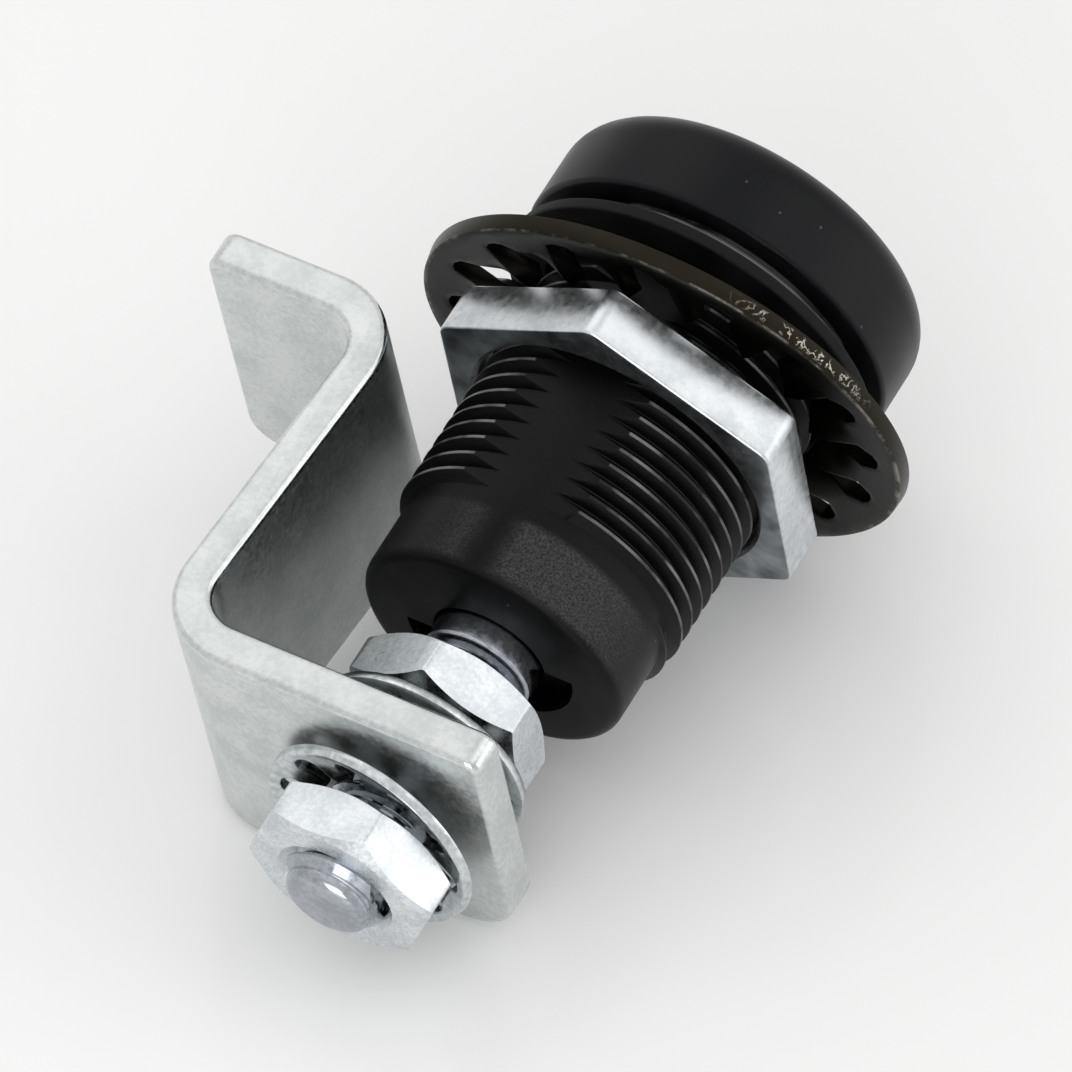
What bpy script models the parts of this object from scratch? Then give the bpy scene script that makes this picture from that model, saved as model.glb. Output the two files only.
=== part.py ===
"""Panel-mount cam latch: a screwed housing, a turning driver and a drawn-in shaft with an adjustable cam.

Every piece is modelled with the latch's axis along its own Z, the head at negative Z. One empty lays that
axis along world +Y, so that the head looks along -Y, the cam reaches along +X and world +Z is up.
Z = 0 is the panel face that the head's gasket seals on. Lengths are in millimetres until they are scaled
by MM.
"""

import math

import bmesh
import bpy
from mathutils import Matrix, Vector

MM = 0.001

# Clearances
RUN = 0.1  # radial clearance of a piece that turns or slides in another
SEAT = 0.25  # gap left where one piece rests against another
KEY_FIT = 0.15  # clearance of the cam's hole round the shaft and its flats
PIN_FIT = 0.05  # radial clearance of the pin in the shaft
CUT_PAST = 1.0  # how far a cutter runs past the face that it cuts

# Driver, with a hexagon socket
DRIVER_FACE_RADIUS = 7.4
DRIVER_FACE_CHAMFER = 0.4
DRIVER_NECK_RADIUS = 6.6
DRIVER_LEDGE = 2.4  # how far the flange stands out past the neck; the thrust washer lies on it
DRIVER_FLANGE_RADIUS = DRIVER_NECK_RADIUS + DRIVER_LEDGE
DRIVER_FLANGE_THICKNESS = 1.8
DRIVER_TUBE_RADIUS = 5.8
DRIVER_TUBE_END = 17.0
DRIVER_SHOULDER = 0.0
SOCKET_ACROSS = 8.0
SOCKET_DEPTH = 6.3
SPRING_WELL = -0.9

# Housing: a double-D thread under a flange, and a plain nose
THREAD_RADIUS = 11.0
THREAD_PITCH = 1.42
THREAD_DEPTH = 0.8
THREAD_START = 1.0
THREAD_END = 22.7
THREAD_RELIEF = 0.4  # length of the slope from the last root to the nose
FLAT_DISTANCE = 10.0  # from the axis to each of the two flats
NOSE_RADIUS = 10.2
NOSE_END = 28.0
NOSE_ROUND = 1.0
END_WALL = 4.0
FLANGE_WALL = 2.9  # round the driver's flange
FLANGE_RADIUS = DRIVER_FLANGE_RADIUS + RUN + FLANGE_WALL
FLANGE_LIP = 1.8  # how far the cone under the cap flares out
FLANGE_LIP_RADIUS = FLANGE_RADIUS + FLANGE_LIP

# Head cap
CAP_WALL = 2.05
CAP_RADIUS = FLANGE_RADIUS + SEAT + CAP_WALL
CAP_FRONT = -10.3
CAP_BACK = -2.55
CAP_FACE = 1.6
CAP_ROUND = 3.0
CAP_EDGE_ROUND = 0.5

# Gasket under the flange
GASKET_REACH = 0.1  # how far it shows past the cap
GASKET_RADIUS = CAP_RADIUS + GASKET_REACH
GASKET_THICKNESS = 1.0
GASKET_CHAMFER = 0.2

# Panel nut and its dished tooth washer
PANEL_NUT_ACROSS = 26.4
PANEL_NUT_THICKNESS = 4.0
PANEL_NUT_BACK = 6.2
PANEL_NUT_TURN = -30.4  # degrees, of one corner from +X
PANEL_NUT_CHAMFER = 0.5
PANEL_WASHER_RADIUS = 18.5
PANEL_WASHER_PLACE = 3.1  # where the rim's middle plane crosses the axis
PANEL_WASHER_THICKNESS = 1.3
PANEL_WASHER_RING = 3.2
PANEL_WASHER_BORE = 11.6
PANEL_WASHER_TEETH = 16
PANEL_WASHER_DISH = 0.9
PANEL_WASHER_TWIST = 0.25
PANEL_WASHER_LEAN = (-5.2, -2.4)  # degrees about the latch's own X and Y: it lies loose on the thread

# Guide sleeve round the driver's tube
SLEEVE_RADIUS = 7.3
SLEEVE_START = 0.5
SLEEVE_WALL_START = 20.0
STOP_RADIUS = 6.4
STOP_LENGTH = 2.4
STOP_SPAN = 86.0  # degrees
WINDOW_RADIUS = 6.6
WINDOW_SPAN = 180.0

# Shaft
SHANK_RADIUS = 4.15
SHANK_START = 5.0
SHANK_END = 30.0
SHANK_CHAMFER = 0.4
SHANK_STEP = 0.3  # length of the cone from the shank down to the relief
RELIEF_DEPTH = 0.6
RELIEF_LENGTH = 0.5
SCREW_RADIUS = 4.0
SCREW_FLAT = 3.2  # from the axis to each flat of the screwed part
SHAFT_END = 51.0
TIP_CHAMFER = 0.8
DRAW_LENGTH = 5.0  # how far the shaft comes out while the driver makes its last quarter turn
QUARTER_TURN = 90.0
PIN_RADIUS = 1.25
PIN_LENGTH = 14.0
PIN_PLACE = 9.0
SLOT_CLEARANCE = 0.15

# Rings in the head
THRUST_WASHER_THICKNESS = 0.5
DRIVER_RING_WIRE = 1.6
DRIVER_RING_GROOVE = 2.0
DRIVER_RING_PLACE = -2.3
SNAP_WIRE = 1.2
SNAP_GROOVE = 1.6
SNAP_PLACE = -5.3
CAP_SEAL_WIRE = 1.0
CAP_SEAL_GROOVE = 1.4
CAP_SEAL_RADIUS = FLANGE_RADIUS - FLANGE_WALL / 2

# Spring behind the socket
SPRING_SEAT_THICKNESS = 0.8
SPRING_WIRE = 0.9
SPRING_RADIUS = 3.35  # of the wire's centre line
SPRING_TURNS = 4.0

# Jam nuts and small tooth washers
JAM_ACROSS = 13.0
JAM_THICKNESS = 4.0
JAM_CHAMFER = 1.3  # how far inside its corners a jam nut's turned bevels start
NUT_BEVEL_ANGLE = 30.0
NUT_CORNER_BREAK = 0.25
NUT_BORE_CHAMFER = 0.4
INNER_NUT_BACK = 31.8
INNER_NUT_TURN = -30.0
OUTER_NUT_BACK = 45.3
OUTER_NUT_TURN = -54.0
SMALL_WASHER_RADIUS = 8.1
SMALL_WASHER_THICKNESS = 0.8
SMALL_WASHER_RING = 1.4
SMALL_WASHER_BORE = 4.35
SMALL_WASHER_TEETH = 10
SMALL_WASHER_DISH = 1.0
SMALL_WASHER_TWIST = 0.15
INNER_WASHER_PLACE = 37.1
INNER_WASHER_LEAN = (2.0, 0.0)
OUTER_WASHER_PLACE = 44.5
OUTER_WASHER_LEAN = (4.0, 4.5)
TOOTH_SHARE = 0.62  # of each tooth's share of the ring, and the gap beside it has the rest
TOOTH_TAPER = 0.12
GAP_ARCH = 0.28  # how far a gap's root reaches into the ring, as a share of the ring

# Cam: one cranked strip
CAM_THICKNESS = 3.0
CAM_WIDTH = 22.2
CAM_SEAT = 39.3
CAM_OFFSET = 28.5  # how far the tip steps back towards the panel
CAM_TAIL = 8.9
CAM_REACH = 29.5
CAM_HEEL = 18.3  # outer face of the leg at the seat's end
CAM_LEAN = 1.9  # how much nearer the axis the leg is at the tip
CAM_BEND = 3.0  # inside radius of both bends
CAM_EDGE_ROUND = 0.8
CAM_CORNER_ROUND = 1.2
CAM_TAIL_ROUND_RADIUS = 4.5  # at the lower corner beside the shaft
CAM_TIP_ROUND_RADIUS = 2.6  # at the tip's lower corner

SEGMENTS = 32
RING_SEGMENTS = 24
BAR_SEGMENTS = 16
CAP_SEGMENTS = 42
SPRING_STEPS = 10  # round each turn
CURVE_STEPS = 6
SMOOTH_ANGLE = 35.0


def hex_colour(code):
    """Linear colour from an sRGB code such as 1c1c1e."""
    parts = [int(code[i : i + 2], 16) / 255 for i in (0, 2, 4)]
    return [c / 12.92 if c <= 0.04045 else ((c + 0.055) / 1.055) ** 2.4 for c in parts] + [1.0]


def new_material(name, code, roughness, metallic):
    material = bpy.data.materials.new(name)
    material.use_nodes = True
    shader = material.node_tree.nodes["Principled BSDF"]
    shader.inputs["Base Color"].default_value = hex_colour(code)
    shader.inputs["Roughness"].default_value = roughness
    shader.inputs["Metallic"].default_value = metallic
    return material


def arc(centre, radius, start, end, steps=CURVE_STEPS):
    """Points on an arc, both ends included; angles in degrees."""
    found = []
    for i in range(steps + 1):
        angle = math.radians(start + (end - start) * i / steps)
        found.append((centre[0] + radius * math.cos(angle), centre[1] + radius * math.sin(angle)))
    return found


def new_object(name, mesh, material=None):
    """An object on the latch's axis: a piece if it has a material, and otherwise a hidden cutter."""
    made = bpy.data.objects.new(name, mesh)
    made.parent = latch_axis
    if material:
        mesh.materials.append(material)
        pieces.objects.link(made)
    else:
        cutters.objects.link(made)
        made.hide_render = True
        made.display_type = "WIRE"
    return made


def object_from(name, shape, material=None):
    """Ends a bmesh that was drawn in millimetres."""
    bmesh.ops.remove_doubles(shape, verts=shape.verts, dist=1e-4)
    bmesh.ops.recalc_face_normals(shape, faces=shape.faces)
    bmesh.ops.scale(shape, vec=(MM, MM, MM), verts=shape.verts)
    mesh = bpy.data.meshes.new(name)
    shape.to_mesh(mesh)
    shape.free()
    mesh.shade_smooth()
    mesh.set_sharp_from_angle(angle=math.radians(SMOOTH_ANGLE))
    return new_object(name, mesh, material)


def turned(name, outline, material=None, segments=SEGMENTS):
    """A turned piece; its outline of (radius, place) runs down the outer side and up the inner one."""
    mesh = bpy.data.meshes.new(name)
    count = len(outline)
    edges = [(i, i + 1) for i in range(count - 1)]
    if outline[0][0] or outline[-1][0]:
        edges.append((count - 1, 0))
    mesh.from_pydata([(radius * MM, 0.0, place * MM) for radius, place in outline], edges, [])
    made = new_object(name, mesh, material)
    turn = made.modifiers.new("Turn", "SCREW")
    turn.axis = "Z"
    turn.steps = turn.render_steps = segments
    turn.use_merge_vertices = True
    turn.merge_threshold = 1e-6
    return made


def change(piece, cutter, operation="DIFFERENCE"):
    boolean = piece.modifiers.new(cutter.name, "BOOLEAN")
    boolean.object = cutter
    boolean.operation = operation


def cylinder(name, radius, bottom, top, segments=SEGMENTS, turn=0.0, material=None):
    """A cylinder or prism along the axis; one corner lies turn degrees from +X."""
    shape = bmesh.new()
    bmesh.ops.create_cone(
        shape, cap_ends=True, segments=segments, radius1=radius, radius2=radius, depth=top - bottom
    )
    shape.verts.ensure_lookup_table()
    first = shape.verts[0].co
    now = math.atan2(first.y, first.x)
    bmesh.ops.rotate(shape, verts=shape.verts, matrix=Matrix.Rotation(math.radians(turn) - now, 3, "Z"))
    bmesh.ops.translate(shape, verts=shape.verts, vec=(0, 0, (bottom + top) / 2))
    return object_from(name, shape, material)


def block(name, low, high):
    shape = bmesh.new()
    bmesh.ops.create_cube(shape, size=1.0)
    bmesh.ops.scale(shape, vec=[h - l for l, h in zip(low, high)], verts=shape.verts)
    bmesh.ops.translate(shape, vec=[(h + l) / 2 for l, h in zip(low, high)], verts=shape.verts)
    return object_from(name, shape)


def sector(name, inner, outer, bottom, top, start, span, steps, rise=0.0):
    """A rectangle swept round the axis by span degrees, climbing by rise on the way."""
    shape = bmesh.new()
    corners = [(inner, bottom), (outer, bottom), (outer, top), (inner, top)]
    turn = Matrix.Rotation(math.radians(start), 3, "Z")
    face = shape.faces.new([shape.verts.new(turn @ Vector((r, 0.0, z))) for r, z in corners])
    bmesh.ops.spin(
        shape,
        geom=[face, *face.edges, *face.verts],
        cent=(0, 0, 0),
        axis=(0, 0, 1),
        dvec=(0, 0, rise / steps),
        angle=math.radians(span),
        steps=steps,
    )
    return object_from(name, shape)


def cross_bar(name, radius, length, place, stretch=0.0, material=None):
    """A round bar across the axis, along Y; stretch draws its section out into a slot."""
    shape = bmesh.new()
    bmesh.ops.create_cone(
        shape, cap_ends=True, segments=BAR_SEGMENTS, radius1=radius, radius2=radius, depth=length
    )
    bmesh.ops.rotate(shape, verts=shape.verts, matrix=Matrix.Rotation(math.radians(90), 3, "X"))
    upper = [v for v in shape.verts if v.co.z > 0.01]
    bmesh.ops.translate(shape, verts=upper, vec=(0, 0, stretch))
    bmesh.ops.translate(shape, verts=shape.verts, vec=(0, 0, place))
    return object_from(name, shape, material)


def thread_outline(crest, depth, top, bottom, pitch):
    """The crests and roots of a thread, from the top down."""
    turns = int((top - bottom) / pitch)
    found = []
    for i in range(turns):
        found.append((crest - depth, top - i * pitch))
        found.append((crest, top - (i + 0.5) * pitch))
    found.append((crest - depth, top - turns * pitch))
    return found


def make_housing():
    flange_front = CAP_FRONT + CAP_FACE + SEAT
    bore = SLEEVE_RADIUS + RUN
    neck_bore = DRIVER_NECK_RADIUS + RUN
    flange_bore = DRIVER_FLANGE_RADIUS + RUN
    shaft_bore = SHANK_RADIUS + 2 * RUN
    seat = flange_front + DRIVER_FLANGE_THICKNESS + THRUST_WASHER_THICKNESS + 2 * SEAT
    shoulder = SLEEVE_START - SEAT
    wall = NOSE_END - END_WALL
    root = THREAD_RADIUS - THREAD_DEPTH
    lip = -GASKET_THICKNESS - SEAT
    snap_low, snap_high = SNAP_PLACE - SNAP_GROOVE / 2, SNAP_PLACE + SNAP_GROOVE / 2
    snap_root = FLANGE_RADIUS - SNAP_WIRE
    seal_in, seal_out = CAP_SEAL_RADIUS - CAP_SEAL_GROOVE / 2, CAP_SEAL_RADIUS + CAP_SEAL_GROOVE / 2
    seal_root = flange_front + CAP_SEAL_WIRE
    outline = [(shaft_bore, NOSE_END)]
    outline += arc((NOSE_RADIUS - NOSE_ROUND, NOSE_END - NOSE_ROUND), NOSE_ROUND, 90, 0, 3)
    outline += [(NOSE_RADIUS, THREAD_END + THREAD_RELIEF)]
    outline += thread_outline(THREAD_RADIUS, THREAD_DEPTH, THREAD_END, THREAD_START, THREAD_PITCH)
    outline += [(root, lip), (FLANGE_LIP_RADIUS, lip), (FLANGE_RADIUS, CAP_BACK)]
    outline += [(FLANGE_RADIUS, snap_high), (snap_root, snap_high), (snap_root, snap_low)]
    outline += [(FLANGE_RADIUS, snap_low), (FLANGE_RADIUS, flange_front), (seal_out, flange_front)]
    outline += [(seal_out, seal_root), (seal_in, seal_root), (seal_in, flange_front)]
    outline += [(flange_bore, flange_front), (flange_bore, seat), (neck_bore, seat)]
    outline += [(neck_bore, shoulder), (bore, shoulder), (bore, wall), (shaft_bore, wall)]
    housing = turned("housing", outline, nylon)
    reach = 2 * THREAD_RADIUS
    past = NOSE_END + CUT_PAST
    for side in (-1, 1):
        low, high = sorted((side * FLAT_DISTANCE, side * reach))
        change(housing, block(f"housing_flat_{side}", (-reach, low, SEAT), (reach, high, past)))
    window = sector("stop_window", SHANK_RADIUS, WINDOW_RADIUS, wall - CUT_PAST, past, 0, WINDOW_SPAN, 24)
    change(housing, window)


def make_head_cap():
    inner = FLANGE_RADIUS + SEAT
    inside = CAP_FRONT + CAP_FACE
    opening = DRIVER_FACE_RADIUS + SEAT
    snap_low, snap_high = SNAP_PLACE - SNAP_GROOVE / 2, SNAP_PLACE + SNAP_GROOVE / 2
    snap_root = inner + SNAP_WIRE / 2
    outline = [(inner, CAP_BACK)]
    outline += arc((CAP_RADIUS - CAP_EDGE_ROUND, CAP_BACK - CAP_EDGE_ROUND), CAP_EDGE_ROUND, 90, 0, 2)
    outline += arc((CAP_RADIUS - CAP_ROUND, CAP_FRONT + CAP_ROUND), CAP_ROUND, 0, -90, 6)
    outline += [(opening, CAP_FRONT), (opening, inside), (inner, inside), (inner, snap_low)]
    outline += [(snap_root, snap_low), (snap_root, snap_high), (inner, snap_high)]
    turned("head_cap", outline, cap_lacquer, CAP_SEGMENTS)


def ring(name, radius, wire, place, material, sides=6):
    """A round ring with a round section."""
    outline = arc((radius, place), wire / 2, 90, -270, sides)[:-1]
    turned(name, outline, material, RING_SEGMENTS)


def make_head_rings():
    seal_place = CAP_FRONT + CAP_FACE + CAP_SEAL_WIRE / 2 + RUN
    ring("cap_seal", CAP_SEAL_RADIUS, CAP_SEAL_WIRE, seal_place, rubber)
    ring("cap_snap_ring", FLANGE_RADIUS + SEAT / 2, SNAP_WIRE, SNAP_PLACE, spring_steel)
    inner = THREAD_RADIUS + SEAT
    outline = [(inner, 0), (GASKET_RADIUS - GASKET_CHAMFER, 0), (GASKET_RADIUS, -GASKET_CHAMFER)]
    outline += [(GASKET_RADIUS, -GASKET_THICKNESS), (inner, -GASKET_THICKNESS)]
    turned("panel_gasket", outline, rubber)


def make_driver():
    flange_front = CAP_FRONT + CAP_FACE + SEAT
    flange_back = flange_front + DRIVER_FLANGE_THICKNESS
    groove_top = DRIVER_RING_PLACE + DRIVER_RING_GROOVE / 2
    groove_low = DRIVER_RING_PLACE - DRIVER_RING_GROOVE / 2
    groove_root = DRIVER_NECK_RADIUS - DRIVER_RING_WIRE
    well = SHANK_RADIUS + RUN
    face = CAP_FRONT + RUN
    face_edge = DRIVER_FACE_RADIUS - DRIVER_FACE_CHAMFER
    outline = [(0, SPRING_WELL), (well, SPRING_WELL), (well, DRIVER_TUBE_END)]
    outline += [(DRIVER_TUBE_RADIUS, DRIVER_TUBE_END), (DRIVER_TUBE_RADIUS, DRIVER_SHOULDER)]
    outline += [(DRIVER_NECK_RADIUS, DRIVER_SHOULDER), (DRIVER_NECK_RADIUS, groove_top)]
    outline += [(groove_root, groove_top), (groove_root, groove_low), (DRIVER_NECK_RADIUS, groove_low)]
    outline += [(DRIVER_NECK_RADIUS, flange_back), (DRIVER_FLANGE_RADIUS, flange_back)]
    outline += [(DRIVER_FLANGE_RADIUS, flange_front), (DRIVER_FACE_RADIUS, flange_front)]
    outline += [(DRIVER_FACE_RADIUS, face + DRIVER_FACE_CHAMFER), (face_edge, face), (0, face)]
    driver = turned("driver", outline, zinc_dark)
    corner = SOCKET_ACROSS / math.sqrt(3)
    change(driver, cylinder("driver_socket", corner, face - CUT_PAST, face + SOCKET_DEPTH, 6, 30))
    slope = math.atan(DRAW_LENGTH / (math.radians(QUARTER_TURN) * well))
    half_height = PIN_RADIUS / math.cos(slope) + SLOT_CLEARANCE
    margin = math.degrees((PIN_RADIUS + SLOT_CLEARANCE) / well)
    climb = DRAW_LENGTH * margin / QUARTER_TURN
    for side, start in (("upper", -QUARTER_TURN), ("lower", QUARTER_TURN)):
        slot = sector(
            f"driver_slot_{side}",
            well - CUT_PAST,
            DRIVER_TUBE_RADIUS + CUT_PAST,
            PIN_PLACE - climb - half_height,
            PIN_PLACE - climb + half_height,
            start - margin,
            QUARTER_TURN + 2 * margin,
            16,
            DRAW_LENGTH + 2 * climb,
        )
        change(driver, slot)
    ring_radius = DRIVER_NECK_RADIUS - DRIVER_RING_WIRE / 2
    ring("driver_o_ring", ring_radius, DRIVER_RING_WIRE - RUN, DRIVER_RING_PLACE, rubber, 8)
    washer_low = flange_back + SEAT
    washer_top = washer_low + THRUST_WASHER_THICKNESS
    inner, outer = DRIVER_NECK_RADIUS + SEAT, DRIVER_FLANGE_RADIUS - RUN
    outline = [(inner, washer_top), (outer, washer_top), (outer, washer_low), (inner, washer_low)]
    turned("thrust_washer", outline, spring_steel, RING_SEGMENTS)


def make_spring():
    """A closed coil between the socket's floor and the shaft's front end, with a seat disc on the shaft."""
    floor = SPRING_WELL + SEAT
    seat_top = SHANK_START - SEAT
    seat_low = seat_top - SPRING_SEAT_THICKNESS
    edge = SHANK_RADIUS - RUN
    turned("spring_seat", [(0, seat_top), (edge, seat_top), (edge, seat_low), (0, seat_low)], spring_steel)
    low, high = floor + SPRING_WIRE / 2, seat_low - SEAT - SPRING_WIRE / 2
    curve = bpy.data.curves.new("coil", "CURVE")
    curve.dimensions = "3D"
    count = int(SPRING_TURNS * SPRING_STEPS) + 1
    spline = curve.splines.new("POLY")
    spline.points.add(count - 1)
    for i, point in enumerate(spline.points):
        angle = 2 * math.pi * i / SPRING_STEPS
        place = low + (high - low) * i / (count - 1)
        x, y = SPRING_RADIUS * math.cos(angle), SPRING_RADIUS * math.sin(angle)
        point.co = (x * MM, y * MM, place * MM, 1.0)
    curve.bevel_depth = SPRING_WIRE / 2 * MM
    curve.bevel_resolution = 1
    curve.use_fill_caps = True
    curve.materials.append(spring_steel)
    coil = bpy.data.objects.new("compression_spring", curve)
    coil.parent = latch_axis
    pieces.objects.link(coil)


def make_guide_sleeve():
    bore = DRIVER_TUBE_RADIUS + RUN
    hole = SHANK_RADIUS + RUN
    top = NOSE_END - END_WALL - SEAT
    outline = [(hole, top), (SLEEVE_RADIUS, top), (SLEEVE_RADIUS, SLEEVE_START), (bore, SLEEVE_START)]
    outline += [(bore, SLEEVE_WALL_START), (hole, SLEEVE_WALL_START)]
    sleeve = turned("guide_sleeve", outline, nylon)
    slot = cross_bar("sleeve_slot", PIN_RADIUS + SLOT_CLEARANCE, 4 * SLEEVE_RADIUS, PIN_PLACE, DRAW_LENGTH)
    change(sleeve, slot)
    play = (WINDOW_SPAN - QUARTER_TURN - STOP_SPAN) / 2
    start = WINDOW_SPAN - play - STOP_SPAN
    stop_bore = hole + 2 * RUN
    stop = sector("stop_lug", stop_bore, STOP_RADIUS, top - CUT_PAST, top + STOP_LENGTH, start, STOP_SPAN, 12)
    change(sleeve, stop, "UNION")


def make_shaft():
    foot = SHANK_END + SHANK_STEP
    relief = foot + RELIEF_LENGTH
    neck = SCREW_RADIUS - RELIEF_DEPTH
    outline = [(0, SHAFT_END), (SCREW_RADIUS - TIP_CHAMFER, SHAFT_END)]
    outline += [(SCREW_RADIUS, SHAFT_END - TIP_CHAMFER), (SCREW_RADIUS, relief + RELIEF_DEPTH)]
    outline += [(neck, relief), (neck, foot), (SHANK_RADIUS - SHANK_CHAMFER, SHANK_END)]
    outline += [(SHANK_RADIUS, SHANK_END - SHANK_CHAMFER), (SHANK_RADIUS, SHANK_START + SHANK_CHAMFER)]
    outline += [(SHANK_RADIUS - SHANK_CHAMFER, SHANK_START), (0, SHANK_START)]
    shaft = turned("shaft", outline, zinc_plate)
    reach = 2 * SCREW_RADIUS
    for side in (-1, 1):
        low, high = sorted((side * SCREW_FLAT, side * reach))
        flat = block(f"shaft_flat_{side}", (low, -reach, foot), (high, reach, SHAFT_END + CUT_PAST))
        change(shaft, flat)
    change(shaft, cross_bar("pin_hole", PIN_RADIUS + PIN_FIT, 4 * SHANK_RADIUS, PIN_PLACE))
    cross_bar("cross_pin", PIN_RADIUS, PIN_LENGTH, PIN_PLACE, material=spring_steel)


def nut(name, across, bore, back, thickness, turn, chamfer):
    """A hexagon nut; chamfer is how far inside its corners the turned bevels start."""
    corner = across / math.sqrt(3)
    top = back + thickness
    piece = cylinder(name, corner, back, top, 6, turn, zinc_plate)
    reach = corner - NUT_CORNER_BREAK
    face = corner - chamfer
    drop = (reach - face) * math.tan(math.radians(NUT_BEVEL_ANGLE))
    outline = [(0, top), (face, top), (reach, top - drop)]
    outline += [(reach, back + drop), (face, back), (0, back)]
    change(piece, turned(name + "_bevels", outline), "INTERSECT")
    mouth = bore + NUT_BORE_CHAMFER + CUT_PAST
    above, below = top + CUT_PAST, back - CUT_PAST
    outline = [(0, above), (mouth, above), (bore, top - NUT_BORE_CHAMFER)]
    outline += [(bore, back + NUT_BORE_CHAMFER), (mouth, below), (0, below)]
    change(piece, turned(name + "_bore", outline))


def jam_nut(name, back, turn):
    nut(name, JAM_ACROSS, SCREW_RADIUS + RUN, back, JAM_THICKNESS, turn, JAM_CHAMFER)


def toothed_washer(name, radius, width, bore, teeth, thickness, dish, twist, place, lean, flip=1):
    """A dished washer with teeth inside, wrapped from a flat strip: columns go round, rows go inwards."""
    columns, rows, ring_rows = 5, 3, 1
    tooth_columns = 3
    shape = bmesh.new()
    bmesh.ops.create_grid(shape, x_segments=teeth * columns, y_segments=rows, size=0.5)
    cell = Vector((1 / (teeth * columns), 1 / rows))
    gone = []
    for face in shape.faces:
        middle = face.calc_center_median()
        column = int((middle.x + 0.5) / cell.x) % columns
        row = int((middle.y + 0.5) / cell.y)
        if column >= tooth_columns and row >= ring_rows:
            gone.append(face)
    bmesh.ops.delete(shape, geom=gone, context="FACES")
    for vert in shape.verts:
        across = (vert.co.x + 0.5) * teeth
        column = round((across % 1) * columns) % columns
        row = round((vert.co.y + 0.5) * rows)
        inwards = max(row - ring_rows, 0) / (rows - ring_rows)
        # The tooth's columns share its width, and the gap's two columns share the rest.
        in_tooth = column <= tooth_columns
        if in_tooth:
            part = column / tooth_columns * TOOTH_SHARE
        else:
            part = (1 + TOOTH_SHARE) / 2
        beside = part / TOOTH_SHARE - 0.5 if in_tooth else 0.0
        part = TOOTH_SHARE / 2 + (part - TOOTH_SHARE / 2) * (1 - TOOTH_TAPER * inwards * in_tooth)
        ring_inner = radius - width
        if row <= ring_rows:
            r = radius - width * row / ring_rows
            if row == ring_rows and not in_tooth:
                r += width * GAP_ARCH
        else:
            r = ring_inner + (bore - ring_inner) * inwards
        angle = 2 * math.pi * (math.floor(across + 1e-6) + part) / teeth
        height = -flip * dish * (radius - r) / (radius - bore) + 2 * beside * twist * inwards
        vert.co = (r * math.cos(angle), r * math.sin(angle), height)
    bmesh.ops.rotate(shape, verts=shape.verts, matrix=Matrix.Rotation(math.radians(lean[0]), 3, "X"))
    bmesh.ops.rotate(shape, verts=shape.verts, matrix=Matrix.Rotation(math.radians(lean[1]), 3, "Y"))
    bmesh.ops.translate(shape, verts=shape.verts, vec=(0, 0, place))
    made = object_from(name, shape, zinc_plate if radius < THREAD_RADIUS else oxide_steel)
    wall = made.modifiers.new("Thickness", "SOLIDIFY")
    wall.thickness = thickness * MM
    wall.offset = 0.0
    return made


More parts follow.
